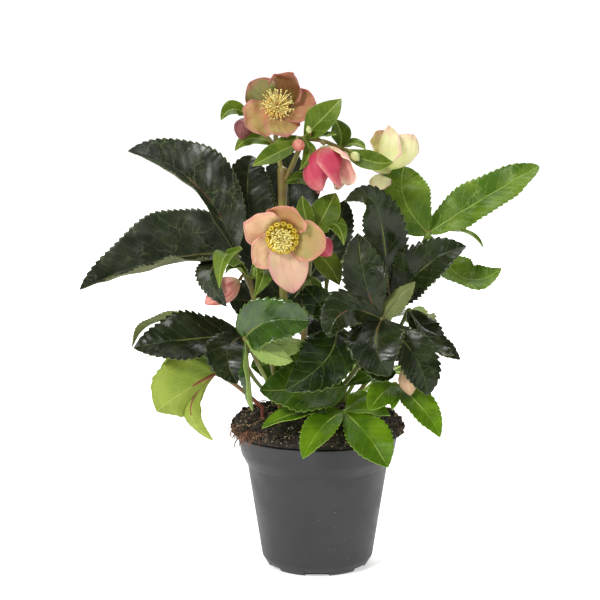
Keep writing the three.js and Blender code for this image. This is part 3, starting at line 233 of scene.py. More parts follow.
# Each bloom: where it sits and looks, its sepals and their common form, its stamens and its nectaries. A
# sepal leaves at `turn` degrees round the bloom and rises at `belly` and then `lift` degrees. Those of
# bloom_nodding are a little broader and rounder than the part's. The stamens lean out by `nearest`
# to `spread` degrees.
BLOOMS = [
    dict(
        name="bloom_top", base=(-32, -9, 371.5), axis=(0.02, -0.94, 0.34),
        form=dict(roll=10, fold=4, wave=1.5),
        sepals=[
            dict(hue="dusty", turn=0, long=31, wide=30, belly=20, lift=24, cup=14),
            # this sepal's dark umber-brown heart and middle are painted shade, for the shaded inside of its
            # cup
            dict(hue="umber", turn=60, long=31, wide=32, belly=26, lift=40, cup=30, fold=6),
            dict(hue="olive", turn=140, long=28, wide=29, belly=18, lift=20, cup=8),
            dict(hue="rose", turn=214, long=31, wide=32, belly=20, lift=24, cup=12),
            dict(hue="rose", turn=285, long=26, wide=29, belly=18, lift=22, cup=8),
        ],
        stamens=dict(count=104, long=14, nearest=7, spread=68, rise=7, slim=0.6, styles=5),
        nectaries=dict(hue="gold", count=14, inner=3.6, outer=8, rise=5.2, deep=4),
    ),
    dict(
        name="bloom_front", base=(-27, -60.5, 279.5), axis=(-0.02, -0.985, -0.16),
        form=dict(roll=10, fold=4, cup=20, wave=1),
        sepals=[
            dict(hue="sand", turn=-9, long=35, wide=33, belly=22, lift=24),
            dict(hue="apricot", turn=74, long=29, wide=35, belly=24, lift=30, cup=24, wave=1.5),
            dict(hue="honey", turn=154, long=32, wide=33, belly=22, lift=26),
            dict(hue="honey", turn=222, long=31, wide=29, belly=22, lift=28),
            dict(hue="peach", turn=281, long=44, wide=32, belly=20, lift=16, cup=18, lean=0.95,
                 fullness=0.66),
        ],
        stamens=dict(count=170, long=12, nearest=3, spread=48, rise=7, slim=0.68, styles=3),
        nectaries=dict(hue="olive", count=14, inner=3.6, outer=11.5, rise=4.8, deep=6.5),
    ),
    dict(
        name="bloom_nodding", base=(5.1, -31.6, 344.6), axis=(0.2, -0.14, -0.97),
        form=dict(lean=0.92, fullness=0.42, roll=16, fold=10, cup=50, wave=0.5),
        sepals=[
            dict(hue="pink", turn=-100, long=36, wide=35, belly=40, lift=72),
            dict(hue="salmon", turn=-28, long=35, wide=33, belly=40, lift=72),
            dict(hue="salmon", turn=44, long=34, wide=33, belly=42, lift=74),
            dict(hue="pink", turn=116, long=34, wide=33, belly=42, lift=74),
            dict(hue="pink", turn=188, long=34, wide=33, belly=42, lift=74),
        ],
        stamens=dict(count=24, long=13, nearest=1.5, spread=10, rise=6.5, slim=1, styles=0),
    ),
    dict(
        name="bloom_cream", base=(54, -2, 322.6), axis=(0.32, 0.25, 0.9),
        form=dict(hue="cream", lean=1.2, roll=14, fold=8, cup=40, wave=1),
        sepals=[
            dict(turn=10, long=33, wide=33, belly=52, lift=68),
            dict(turn=100, long=34, wide=35, belly=52, lift=68),
            dict(turn=188, long=34, wide=34, belly=52, lift=68),
            dict(turn=278, long=35, wide=34, belly=50, lift=64),
            dict(turn=120, long=22, wide=19, belly=-60, lift=-70, lean=1.08, roll=0, cup=30),
        ],
        stamens=dict(count=24, long=13, nearest=2, spread=16, rise=6.5, slim=1, styles=0),
    ),
]

# Each bud: its name and hue, how long and wide it is, and where it sits and looks.
BUDS = [
    ("bud_top_west", "rose", 18, 15, (-57.4, -1.4, 364.3), (-0.2, -0.2, -0.95)),
    ("bud_round", "blush", 10, 10, (-15, -34.5, 348), (0, -0.85, -0.5)),
    ("bud_east", "green", 9, 7, (26.1, -29.1, 339.5), (0.6, -0.3, -0.7)),
    ("bud_tip", "green", 8, 4.5, (-6.2, -32.7, 354.1), (-0.2, -0.6, 0.8)),
    ("bud_red", "crimson", 19, 16, (-1.7, -40.2, 273.2), (0.62, -0.45, -0.64)),
    ("bud_west", "peach", 33, 20, (-60.5, -46.5, 241.6), (-0.82, -0.1, -0.56)),
    ("bud_east_low", "sand", 22, 15, (68.2, -51.2, 173), (0.2, -0.15, -0.96)),
]


# ---- numbers into meshes ----
class Form:
    """Closed surfaces gathered for one piece: points in mm, with two marks each, and their faces.

    `blade` marks a point's place in mm: along the blade, across it, and the half width there.
    `share` marks it from 0 to 1: along, across, and a number of its own for each leaflet or sepal.
    """

    def __init__(self):
        self.points, self.blade, self.share = [], [], []
        self.faces, self.slots, self.flat = [], [], []
        self.count = 0

    def add(self, points, *faces, slot=0, blade=None, share=None, flat=False):
        """Adds points and groups of faces between them. Returns the number of the first point."""
        points = np.asarray(points, float).reshape(-1, 3)
        for known, new in ((self.points, points), (self.blade, blade), (self.share, share)):
            known.append(np.zeros_like(points) if new is None else np.asarray(new, float).reshape(-1, 3))
        start = self.count
        self.count += len(points)
        for group in faces:
            self.add_faces(group, start, slot, flat)
        return start

    def add_faces(self, faces, start, slot, flat=False):
        self.faces.append(np.asarray(faces, int) + start)
        self.slots.append(slot)
        self.flat.append(flat)


def stand_for(piece, node):
    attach(piece, "root")
    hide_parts(node)


def mesh_of(name, form, materials):
    """One mesh object from a form."""
    mesh = bpy.data.meshes.new(name)
    counts = [len(group) for group in form.faces]
    corners = np.repeat([group.shape[1] for group in form.faces], counts)
    mesh.vertices.add(form.count)
    mesh.vertices.foreach_set("co", (np.concatenate(form.points) * MM).ravel())
    mesh.loops.add(int(corners.sum()))
    mesh.loops.foreach_set("vertex_index", np.concatenate([group.ravel() for group in form.faces]))
    mesh.polygons.add(len(corners))
    mesh.polygons.foreach_set("loop_start", np.cumsum(corners) - corners)
    mesh.polygons.foreach_set("material_index", np.repeat(form.slots, counts))
    mesh.polygons.foreach_set("use_smooth", ~np.repeat(form.flat, counts))
    for label, marks in (("blade", form.blade), ("share", form.share)):
        layer = mesh.attributes.new(label, "FLOAT_VECTOR", "POINT")
        layer.data.foreach_set("vector", np.concatenate(marks).ravel())
    mesh.update(calc_edges=True)
    mesh.validate()
    for material in materials:
        mesh.materials.append(material)
    made = bpy.data.objects.new(name, mesh)
    bpy.context.scene.collection.objects.link(made)
    return made


def unit(v):
    return v / np.maximum(np.linalg.norm(v, axis=-1, keepdims=True), 1e-12)


def turns(count):
    """Angles evenly round a full turn."""
    return np.linspace(0, FULL_TURN, count, endpoint=False)


def smooth_step(x, low, high):
    share = np.clip((x - low) / (high - low), 0, 1)
    return share * share * (3 - 2 * share)


def ripples(points, rng, size, count):
    """Soft random bumps about `size` across and 1 high, for an array of points."""
    waves = unit(rng.normal(size=(count, 3))) * (FULL_TURN / size) * rng.uniform(0.6, 1.5, (count, 1))
    phases = rng.uniform(0, FULL_TURN, count)
    return np.sin(points @ waves.T + phases).sum(-1) / math.sqrt(count)


def grid_faces(rows, columns, closed=False):
    """Quads of a grid of points. A closed grid joins its last column to its first."""
    i, j = np.meshgrid(np.arange(rows - 1), np.arange(columns if closed else columns - 1), indexing="ij")
    k = (j + 1) % columns
    low, high = i * columns, (i + 1) * columns
    return np.stack([low + j, low + k, high + k, high + j], -1).reshape(-1, 4)


def turned(form, rings, ends, slot=0):
    """A closed tube or body of revolution: rings of points between two end points."""
    rings = np.asarray(rings, float)
    rows, columns = rings.shape[:2]
    size = rows * columns
    j = np.arange(columns)
    k = (j + 1) % columns
    first = np.stack([np.full(columns, size), k, j], -1)
    last = np.stack([np.full(columns, size + 1), size - columns + j, size - columns + k], -1)
    share = np.zeros((size + 2, 3))
    share[:size, 0] = np.repeat(np.linspace(0, 1, rows), columns)
    share[:size, 1] = np.tile(j / columns, rows)
    share[-1, 0] = 1
    points = np.concatenate([rings.reshape(-1, 3), np.asarray(ends, float)])
    form.add(points, grid_faces(rows, columns, closed=True), first, last, slot=slot, share=share)


def frames_along(path):
    """Two directions square to a path at each of its points, turning as little as they can."""
    along = unit(np.gradient(path, axis=0))
    side = np.cross(along[0], [0.3, 0.9, 0.2])
    sides = []
    for direction in along:
        side = unit(side - direction * (side @ direction))
        sides.append(side)
    return np.array(sides), np.cross(along, sides)


def tube(form, path, radius, columns, slot=0):
    """A round stalk along a path, with a domed end. `radius` is one number or one for each point."""
    path = np.asarray(path, float)
    radius = np.broadcast_to(np.asarray(radius, float), len(path))[:, None, None]
    across, over = frames_along(path)
    angle = turns(columns)[None, :, None]
    rings = path[:, None] + radius * (across[:, None] * np.cos(angle) + over[:, None] * np.sin(angle))
    end = path[-1] + unit(path[-1] - path[-2]) * radius[-1, 0, 0] * 0.6
    turned(form, rings, [path[0], end], slot)


def egg(form, centre, out, long, wide, rows, columns, slot=0):
    """A small round body about `centre`, `long` along `out` and `wide` across."""
    centre, out = np.asarray(centre, float), unit(np.asarray(out, float))
    side = unit(np.cross(out, [0.31, 0.17, 0.93]))
    tilt = np.linspace(0, math.pi, rows + 2)[1:-1][:, None, None]
    turn = turns(columns)[None, :, None]
    ball = (side * np.cos(turn) + np.cross(out, side) * np.sin(turn)) * np.sin(tilt) * wide / 2
    half = out * long / 2
    turned(form, centre + ball - half * np.cos(tilt), [centre - half, centre + half], slot)


def curve_through(points, steps):
    """A smooth path through the points, with `steps` steps between each two."""
    points = [np.asarray(p, float) for p in points]
    ring = [2 * points[0] - points[1], *points, 2 * points[-1] - points[-2]]
    t = np.linspace(0, 1, steps, endpoint=False)[:, None]
    path = []
    for x0, x1, x2, x3 in zip(ring, ring[1:], ring[2:], ring[3:]):
        d0, d1, d2 = (np.linalg.norm(b - a) ** 0.5 for a, b in ((x0, x1), (x1, x2), (x2, x3)))
        t1 = ((x1 - x0) / d0 - (x2 - x0) / (d0 + d1) + (x2 - x1) / d1) * d1
        t2 = ((x2 - x1) / d1 - (x3 - x1) / (d1 + d2) + (x3 - x2) / d2) * d1
        path.append(x1 + t1 * t + (3 * (x2 - x1) - 2 * t1 - t2) * t**2 + (2 * (x1 - x2) + t1 + t2) * t**3)
    return np.concatenate([*path, [points[-1]]])


# ---- blades: leaflets, bracts and sepals ----
BLADE_THICK = 0.8
# half the least width of a blade, at its foot and at its tip
BASE_HALF_WIDTH = 1.1
TIP_HALF_WIDTH = 0.45
# the waves along a blade's edges
WAVE_COUNT = 2.2
WAVE_PHASE_RIGHT = 0.6
WAVE_PHASE_LEFT = 2.4
# the share of the half width over which the fold along the rib is rounded
CREASE = 0.06
RIB_STEP = 0.001


def rib_at(blade, s):
    """The rib's point at the share s of it: one smooth curve through all its points."""
    last = len(blade["rib"]) - 1
    point = np.zeros((*s.shape, 3))
    for i, knot in enumerate(np.asarray(blade["rib"], float)):
        share = np.ones_like(s)
        for j in range(last + 1):
            if j != i:
                share = share * (last * s - j) / (i - j)
        point += share[..., None] * knot
    return point


def rib_frame(blade, s):
    """The directions along the rib and up from it."""
    along = unit(rib_at(blade, s + RIB_STEP) - rib_at(blade, s - RIB_STEP))
    up = np.asarray(blade["up"], float)
    return along, unit(up - along * (along @ up)[..., None])


def half_width(blade, s):
    share = np.maximum(0, np.sin(math.pi * s ** blade["lean"])) ** blade["fullness"]
    least = BASE_HALF_WIDTH + (TIP_HALF_WIDTH - BASE_HALF_WIDTH) * s
    return np.maximum(blade["wide"] / 2 * share, least)


def blade_surface(blade, s, t, reach):
    """The middle surface at s along and t across, where `reach` mm lie between it and the rib."""
    along, up = rib_frame(blade, s)
    raised = np.radians(blade["fold"] + blade["cup"] * np.abs(t) / 2)
    phase = np.where(t > 0, WAVE_PHASE_RIGHT, WAVE_PHASE_LEFT)
    swell = np.sin(FULL_TURN * WAVE_COUNT * s + phase) * np.sin(math.pi * s)
    soft = (np.sqrt(t * t + CREASE**2) - CREASE) / np.maximum(np.abs(t), 1e-6)
    lift = reach * soft * np.sin(raised) + blade["wave"] * t * t * swell
    aside = np.sign(t) * reach * np.cos(raised)
    return rib_at(blade, s) + np.cross(along, up) * aside[..., None] + up * lift[..., None]


def normals(surface):
    return unit(np.cross(np.gradient(surface, axis=1), np.gradient(surface, axis=0)))


def sheet(form, surface, thick, slots, blade, share):
    """A closed blade about its middle surface, with slots for the upper face and for the rest of it."""
    rows, columns = surface.shape[:2]
    half = normals(surface) * (thick / 2)[..., None]
    quads = grid_faces(rows, columns)
    points = np.stack([surface + half, surface - half])
    start = form.add(points, quads, slot=slots[0], blade=np.stack([blade] * 2), share=np.stack([share] * 2))
    size = rows * columns
    form.add_faces(quads[:, ::-1] + size, start, slots[1])
    i, j = np.arange(rows - 1), np.arange(columns - 1)
    near, far = i * columns, i * columns + columns - 1
    tip = size - columns + j
    rim = [
        np.stack([near, near + columns, near + columns + size, near + size], -1),
        np.stack([far, far + size, far + columns + size, far + columns], -1),
        np.stack([j, j + size, j + 1 + size, j + 1], -1),
        np.stack([tip, tip + 1, tip + 1 + size, tip + size], -1),
    ]
    form.add_faces(np.concatenate(rim), start, slots[1], flat=True)


CURL_RADIUS = 3.2


def curled(blade, s, t, reach, width):
    """The middle surface of a blade with an edge rolled up. `curl` gives the side and its rolled share."""
    side, share = blade["curl"]
    gate = smooth_step(s, 0.06, 0.25) * (0.72 + 0.26 * np.sin(11 * s + 1.4) + 0.2 * np.sin(31 * s + 0.4))
    rolled = np.maximum(reach - (1 - share) * width, 0) * (np.sign(t) == side) * gate
    turn = rolled / CURL_RADIUS
    inward = blade_surface(blade, s, t, reach - rolled + CURL_RADIUS * np.sin(turn))
    raised = CURL_RADIUS * (1 - np.cos(turn))
    return inward + normals(blade_surface(blade, s, t, reach)) * raised[..., None]


# a saw tooth: how far each of its rows stands out from the edge
TOOTH_FORM = np.array([-0.6, -0.15, 0.3, 0.75, 1.15])
TOOTH_ROWS = len(TOOTH_FORM)
# the largest leaflets, wider than this, have finer teeth and a calmer face
BROAD = 60
# side veins leave the rib at a slant and bend towards the tip
VEIN_SLANT = 0.85
VEIN_BEND = 0.006
# the material slots of a leaf or a stem
UPPER, UNDER, STALK = range(3)


def leaflet_sheet(form, blade, rng, bite, columns, relief=1.0):
    """A leaflet or bract, with its side veins sunken and the fields between swollen.

    `bite` deepens the saw teeth of its edge, and `relief` the swelling of its face.
    """
    broad = blade["wide"] > BROAD
    long = np.linalg.norm(np.diff(rib_at(blade, np.linspace(0, 1, 40)), axis=0), axis=1).sum()
    teeth = max(5, round(long / (4.3 if broad else 3.4 + blade["wide"] * 0.04)))
    rows = teeth * TOOTH_ROWS + 1
    row = np.arange(rows)
    side = np.linspace(-1, 1, 2 * columns + 1)
    s, t = np.meshgrid(row / (rows - 1), side, indexing="ij")
    edge = np.abs(t) ** 6
    saw = 0
    if bite:
        fade = smooth_step(s, 0.1, 0.22) * (1 - smooth_step(s, 0.96, 1.0))
        depth = bite * np.clip(0.075 * half_width(blade, s), 0.25, 0.85 if broad else 1.35) * fade
        tooth = TOOTH_FORM[(row[:, None] + np.where(side > 0, 0, 2)) % TOOTH_ROWS]
        saw = depth * tooth * edge
        s = np.clip(s + (tooth > 1) * 0.5 / (rows - 1) * edge * fade, 0, 1)
    width = half_width(blade, s)
    reach = np.abs(t) * width + saw
    surface = curled(blade, s, t, reach, width) if "curl" in blade else blade_surface(blade, s, t, reach)
    field = (s * long - VEIN_SLANT * reach - VEIN_BEND * reach * reach) / (5.5 + blade["wide"] * 0.05)
    inner = np.sin(math.pi * np.clip(np.abs(t), 0, 1)) ** 0.5
    narrow = np.clip(width / 14, 0.2, 1)
    quilt = -(0.06 if broad else 0.18) * np.cos(FULL_TURN * field) * inner * narrow
    calm = smooth_step(s, 0.02, 0.2) * smooth_step(1 - s, 0.0, 0.15)
    sway = (ripples(surface, rng, 26, 8) * 0.6 + ripples(surface, rng, 13, 10) * 0.14) * calm * narrow
    gutter = -0.35 * np.exp(-((reach / 1.4) ** 2)) * calm
    surface = surface + normals(surface) * ((quilt + sway + gutter) * relief)[..., None]
    thick = BLADE_THICK * (1 - 0.45 * np.abs(t) ** 3)
    place = np.stack([s * long, np.sign(t) * reach, width], -1)
    share = np.stack([s, t, np.full_like(s, rng.uniform())], -1)
    sheet(form, surface, thick, (UPPER, UNDER), place, share)


def midrib(form, blade, thick, tip=0.97):
    """The raised rib beneath a leaflet."""
    s = np.linspace(0, tip, 30)
    path = blade_surface(blade, s, np.zeros_like(s), np.zeros_like(s)) - rib_frame(blade, s)[1] * 0.55
    tube(form, path, thick * (1 - 0.75 * s) + 0.12, columns=8, slot=STALK)


# a stalk's lower end in the peat, and the height from which it bends
PLANTED_HEIGHT = 119
CLEAR_OF_PEAT = 134


def rooted(foot, route):
    """A stalk's path: straight up out of the peat, and then in one curve along its route."""
    free = curve_through([[*foot, CLEAR_OF_PEAT], *route], 16)
    buried = [[*foot, PLANTED_HEIGHT], [*foot, (PLANTED_HEIGHT + CLEAR_OF_PEAT) / 2]]
    return np.concatenate([buried, free])


# ---- materials ----
class Wire:
    """A node's output. Sums, differences, products and quotients of wires make the math nodes for them."""

    def __init__(self, paint, socket):
        self.paint, self.socket = paint, socket

    def __add__(self, other):
        return self.paint.math("ADD", self, other)

    def __sub__(self, other):
        return self.paint.math("SUBTRACT", self, other)

    def __mul__(self, other):
        return self.paint.math("MULTIPLY", self, other)

    def __truediv__(self, other):
        return self.paint.math("DIVIDE", self, other)

    def __abs__(self):
        return self.paint.math("ABSOLUTE", self)


class Paint:
    """A procedural material built up node by node."""

    def __init__(self, name):
        self.material = bpy.data.materials.new(name)
        self.material.use_nodes = True
        self.tree = self.material.node_tree
        self.surface = self.tree.nodes["Principled BSDF"]

    def put(self, socket, value):
        if isinstance(value, Wire):
            self.tree.links.new(value.socket, socket)
        elif socket.type == "RGBA":
            socket.default_value = (*value, 1)
        else:
            socket.default_value = value

    def node(self, kind, output, inputs, **settings):
        """Adds a node, fills its inputs by name or number, and returns one of its outputs."""
        made = self.tree.nodes.new(kind)
        for key, value in settings.items():
            setattr(made, key, value)
        for key, value in inputs.items():
            self.put(made.inputs[key], value)
        return Wire(self, made.outputs[output])

    def math(self, operation, *values):
        return self.node("ShaderNodeMath", 0, dict(enumerate(values)), operation=operation)

    def ramp(self, value, low, high, start=0, end=1):
        """Runs softly from `start` to `end` while the value goes from `low` to `high`."""
        inputs = {"Value": value, "From Min": low, "From Max": high, "To Min": start, "To Max": end}
        return self.node("ShaderNodeMapRange", "Result", inputs, interpolation_type="SMOOTHSTEP")

    def mix(self, share, a, b):
        return self.node("ShaderNodeMix", 2, {0: share, 6: a, 7: b}, data_type="RGBA")

    def marks(self, name):
        """The three numbers of one of a form's marks."""
        mark = self.node("ShaderNodeAttribute", "Vector", {}, attribute_name=name)
        return [self.node("ShaderNodeSeparateXYZ", axis, {"Vector": mark}) for axis in "XYZ"]

    def vector(self, x, y, z):
        return self.node("ShaderNodeCombineXYZ", "Vector", {"X": x, "Y": y, "Z": z})

    def place(self):
        """Where a point lies, in metres."""
        return self.node("ShaderNodeTexCoord", "Object", {})

    def noise(self, where, scale, detail=3, rough=0.55):
        inputs = {"Vector": where, "Scale": scale, "Detail": detail, "Roughness": rough}
        return self.node("ShaderNodeTexNoise", "Fac", inputs)

    def cells(self, where, scale, feature="DISTANCE_TO_EDGE"):
        inputs = {"Vector": where, "Scale": scale}
        return self.node("ShaderNodeTexVoronoi", "Distance", inputs, feature=feature)

    def bump(self, height, distance, strength):
        inputs = {"Height": height, "Distance": distance, "Strength": strength}
        return self.node("ShaderNodeBump", "Normal", inputs)

    def done(self, colour, roughness, normal=None, **values):
        values.update(Base_Color=colour, Roughness=roughness)
        if normal:
            values["Normal"] = normal
        for key, value in values.items():
            self.put(self.surface.inputs[key.replace("_", " ")], value)
        return self.material


# how far apart the painted side veins are
VEIN_SPACE = 11


def vein_masks(paint):
    """A blade's own plane in mm, and masks of its side veins, its net of fine veins and its midrib."""
    u, v, _ = paint.marks("blade")
    across = abs(v)
    plane = paint.vector(u, v, 0)
    wander = (paint.noise(plane, 0.13, 2) - 0.5) * 6
    stray = (paint.noise(plane, 0.19, 2) - 0.5) * 9
    slant = across * (across * VEIN_BEND + VEIN_SLANT)
    off = paint.math("PINGPONG", (u - slant + wander) / VEIN_SPACE, 0.5) * VEIN_SPACE
    side = paint.ramp(off, 0.12, 0.5, 1, 0)
    bent = paint.vector(u + stray, v + wander, 0)
    coarse = paint.ramp(paint.cells(bent, 0.09), 0, 0.05, 1, 0)
    small = paint.ramp(paint.cells(bent, 0.25), 0, 0.09, 0.45, 0)
    net = paint.math("MAXIMUM", coarse, small)
    rib = paint.ramp(across, 0.25, 0.8, 1, 0)
    return plane, side, net, rib


def leaf_paint(name, deep, light, vein, gloss, net_share, side_share, ribbed=0.6, shine=0.14):
    """The upper face of a leaf: two greens in soft patches, lighter veins and a finely grained skin."""
    paint = Paint(name)
    plane, side, net, rib = vein_masks(paint)
    where = paint.place()
    edge = paint.ramp(abs(paint.marks("share")[1]), 0.955, 1)
    faded = paint.ramp(paint.noise(where, 55, 2), 0.36, 0.66)
    colour = paint.mix(paint.ramp(paint.noise(where, 38), 0.35, 0.68), deep, light)
    for share in (net * net_share * faded, side * side_share, rib * ribbed, edge * 0.6):
        colour = paint.mix(share, colour, vein)
    height = paint.noise(plane, 1.1, 2) * 0.3 - net * (0.55 - net_share) - side * (0.5 + side_share) - rib
    dull = paint.ramp(paint.noise(where, 70, 2), 0.3, 0.75, gloss - 0.07, gloss + 0.12)
    return paint.done(colour, dull, paint.bump(height, 0.00022, 0.7), Specular_IOR_Level=shine)


def under_paint(name, base, light, vein):
    """The lower face: paler and duller, with the net of veins standing out."""
    paint = Paint(name)
    _, side, net, rib = vein_masks(paint)
    colour = paint.mix(paint.ramp(paint.noise(paint.place(), 45), 0.3, 0.7), base, light)
    for share in (net * 0.3, side * 0.5, rib * 0.6):
        colour = paint.mix(share, colour, vein)
    return paint.done(colour, 0.6, paint.bump(net * 0.6 + side, 0.0003, 0.8), Specular_IOR_Level=0.3)


def stalk_paint(name, base, blush, share):
    """Stalks: green, flushed with red in patches and speckled."""
    paint = Paint(name)
    where = paint.place()
    flush = paint.ramp(paint.noise(where, 30, 2), 0.62 - 0.4 * share, 0.8 - 0.2 * share)
    specks = paint.ramp(paint.cells(where, 900, "F1"), 0.12, 0.3, 1, 0)
    colour = paint.mix(specks * 0.45, paint.mix(flush, base, blush), blush)
    return paint.done(colour, 0.45, paint.bump(paint.noise(where, 1400, 2), 0.00012, 0.8))


def sepal_paint(name, heart, middle, rim, streak, foot, patch):
    """A sepal: its foot, middle and rim, patches of another tone, and fine streaks that run along it."""
    paint = Paint(name)
    along, across, seed = paint.marks("share")
    where = paint.place()
    blotch = paint.noise(where, 160, 2) - 0.5
    outward = paint.math("MAXIMUM", abs(across), along * 0.98) + blotch * 0.3
    patchy = paint.ramp(paint.noise(where, 55, 2), 0.42, 0.64)
    fibres = paint.vector(across, along * 0.2, seed * 9)
    fine = paint.ramp(paint.noise(fibres, 16, 3, 0.65), 0.48, 0.66)
    colour = paint.mix(paint.ramp(outward, 0.22, 0.64), heart, middle)
    colour = paint.mix(patchy * 0.75, colour, patch)
    colour = paint.mix(paint.ramp(outward, 0.72, 1), colour, rim)
    colour = paint.mix(paint.ramp(along, 0.08, 0.34, 0.85, 0), colour, foot)
    colour = paint.mix(fine * 0.3, colour, streak)
    skin = dict(Subsurface_Weight=0.12, Subsurface_Scale=0.004, Specular_IOR_Level=0.3)
    return paint.done(colour, 0.5, paint.bump(fine, 0.00018, 0.7), **skin)


def bud_paint(name, base, stripe, tip, foot, stripes=5):
    """A bud: stripes along its furled sepals, with the tip and the foot of other colours."""
    paint = Paint(name)
    along, around, _ = paint.marks("share")
    turn = around * FULL_TURN
    ring = paint.vector(paint.math("COSINE", turn), paint.math("SINE", turn), along * 0.35)
    striped = paint.ramp(paint.noise(ring, stripes, 3, 0.6), 0.45, 0.62)
    colour = paint.mix(striped, base, stripe)
    colour = paint.mix(paint.ramp(along, 0.7, 1, 0, 0.8), colour, tip)
    colour = paint.mix(paint.ramp(along, 0.02, 0.3, 0.85, 0), colour, foot)
    skin = dict(Subsurface_Weight=0.1, Subsurface_Scale=0.004)
    return paint.done(colour, 0.45, paint.bump(striped, 0.0002, 0.6), **skin)


def plain_paint(name, dark, light, scale, gloss=0.6, relief=0.0001, fine=900, low=0.35, high=0.68):
    """Two colours mixed in patches, with a grained skin."""
    paint = Paint(name)
    where = paint.place()
    colour = paint.mix(paint.ramp(paint.noise(where, scale, 4), low, high), dark, light)
    return paint.done(colour, gloss, paint.bump(paint.noise(where, fine, 2), relief, 0.9))


def pot_paint():
    """Dark grey plastic, a little streaked, with dust and crumbs of peat clinging to it."""
    paint = Paint("pot_plastic")
    where = paint.place()
    streaks = paint.ramp(paint.noise(where, 14), 0.3, 0.7)
    dust = paint.ramp(paint.cells(where, 230, "F1"), 0.05, 0.1, 1, 0)
    dusty = paint.ramp(paint.noise(where, 30, 2), 0.5, 0.66) * 0.55
    dirt = paint.ramp(paint.cells(where, 190, "F1"), 0.04, 0.09, 1, 0)
    colour = paint.mix(streaks, (0.037, 0.0365, 0.038), (0.05, 0.0485, 0.05))
    colour = paint.mix(dust * dusty, colour, (0.42, 0.4, 0.37))
    colour = paint.mix(dirt * 0.6, colour, (0.02, 0.015, 0.012))
    dull = paint.ramp(paint.noise(where, 60), 0.3, 0.7, 0.42, 0.56)
    skin = paint.bump(paint.noise(where, 900, 2), 0.00008, 0.7)
    return paint.done(colour, dull, skin, Specular_IOR_Level=0.27)


# each tone of leaf: its upper face's deep, light and vein colours, its under face's, and its stalk's
LEAF_ROWS = {
    "dark": dict(
        upper=[(0.005, 0.01, 0.001), (0.019, 0.029, 0.006), (0.07, 0.1, 0.03)],
        under=[(0.11, 0.135, 0.035), (0.16, 0.19, 0.055), (0.22, 0.24, 0.09)],
        stalk=[(0.1, 0.12, 0.02), (0.12, 0.035, 0.02), 0.45],
        bite=1.1, gloss=0.28, net_share=0.3, side_share=0.3, ribbed=0.4, shine=0.3,
    ),
    # shade: a darker copy of dark, painted shade for the leaves at the back and low down, where shade falls
    "shade": dict(
        upper=[(0.004, 0.008, 0.001), (0.012, 0.019, 0.004), (0.07, 0.1, 0.03)],
        under=[(0.1, 0.125, 0.03), (0.15, 0.18, 0.05), (0.22, 0.24, 0.09)],
        stalk=[(0.1, 0.12, 0.02), (0.12, 0.035, 0.02), 0.45],
        bite=1.1, gloss=0.3, net_share=0.3, side_share=0.3, ribbed=0.4, shine=0.24,
    ),
    "veined": dict(
        upper=[(0.006, 0.011, 0.003), (0.018, 0.026, 0.009), (0.14, 0.175, 0.075)],
        under=[(0.075, 0.085, 0.035), (0.13, 0.135, 0.06), (0.2, 0.195, 0.1)],
        stalk=[(0.1, 0.12, 0.02), (0.12, 0.035, 0.02), 0.45],
        bite=1.1, gloss=0.34, net_share=0.5, side_share=0.14, ribbed=0.15, shine=0.32,
    ),
    "lush": dict(
        upper=[(0.022, 0.052, 0.002), (0.055, 0.115, 0.004), (0.17, 0.27, 0.04)],
        under=[(0.16, 0.24, 0.04), (0.2, 0.3, 0.06), (0.3, 0.37, 0.1)],
        stalk=[(0.12, 0.16, 0.02), (0.12, 0.05, 0.02), 0.35],
        bite=0.85, gloss=0.4, net_share=0.25, side_share=0.4,
    ),
    "deep": dict(
        upper=[(0.004, 0.01, 0.001), (0.014, 0.03, 0.002), (0.1, 0.17, 0.03)],
        under=[(0.16, 0.22, 0.05), (0.2, 0.27, 0.07), (0.3, 0.37, 0.12)],
        stalk=[(0.12, 0.16, 0.02), (0.12, 0.05, 0.02), 0.35],
        bite=1.1, gloss=0.28, net_share=0.25, side_share=0.35, ribbed=0.4, shine=0.18,
    ),
    "mid": dict(
        upper=[(0.013, 0.038, 0.002), (0.042, 0.1, 0.005), (0.12, 0.24, 0.035)],
        under=[(0.2, 0.3, 0.06), (0.27, 0.37, 0.09), (0.36, 0.45, 0.14)],
        stalk=[(0.15, 0.2, 0.03), (0.14, 0.06, 0.02), 0.3],
        bite=0.85, gloss=0.2, net_share=0.35, side_share=0.25, ribbed=0.35, shine=0.6,
    ),
    "fresh": dict(
        upper=[(0.048, 0.11, 0.006), (0.12, 0.2, 0.014), (0.34, 0.46, 0.1)],
        under=[(0.17, 0.25, 0.05), (0.22, 0.31, 0.07), (0.36, 0.44, 0.14)],
        stalk=[(0.22, 0.33, 0.04), (0.2, 0.12, 0.04), 0.15],
        bite=0.65, gloss=0.38, net_share=0.4, side_share=0.3, ribbed=0.5,
    ),
    "bright": dict(
        upper=[(0.05, 0.115, 0.002), (0.12, 0.23, 0.003), (0.2, 0.34, 0.02)],
        under=[(0.22, 0.36, 0.03), (0.29, 0.44, 0.05), (0.42, 0.54, 0.12)],
        stalk=[(0.24, 0.34, 0.04), (0.22, 0.12, 0.04), 0.15],
        bite=0.65, gloss=0.42, net_share=0.25, side_share=0.25, ribbed=0.4,
    ),
    "pale": dict(
        upper=[(0.1, 0.17, 0.012), (0.17, 0.27, 0.025), (0.36, 0.42, 0.1)],
        under=[(0.18, 0.265, 0.026), (0.28, 0.36, 0.045), (0.38, 0.43, 0.09)],
        stalk=[(0.2, 0.13, 0.04), (0.24, 0.055, 0.03), 0.8],
        bite=0.6, gloss=0.5, net_share=0.3, side_share=0.5, rib_to=0.6,
    ),
}
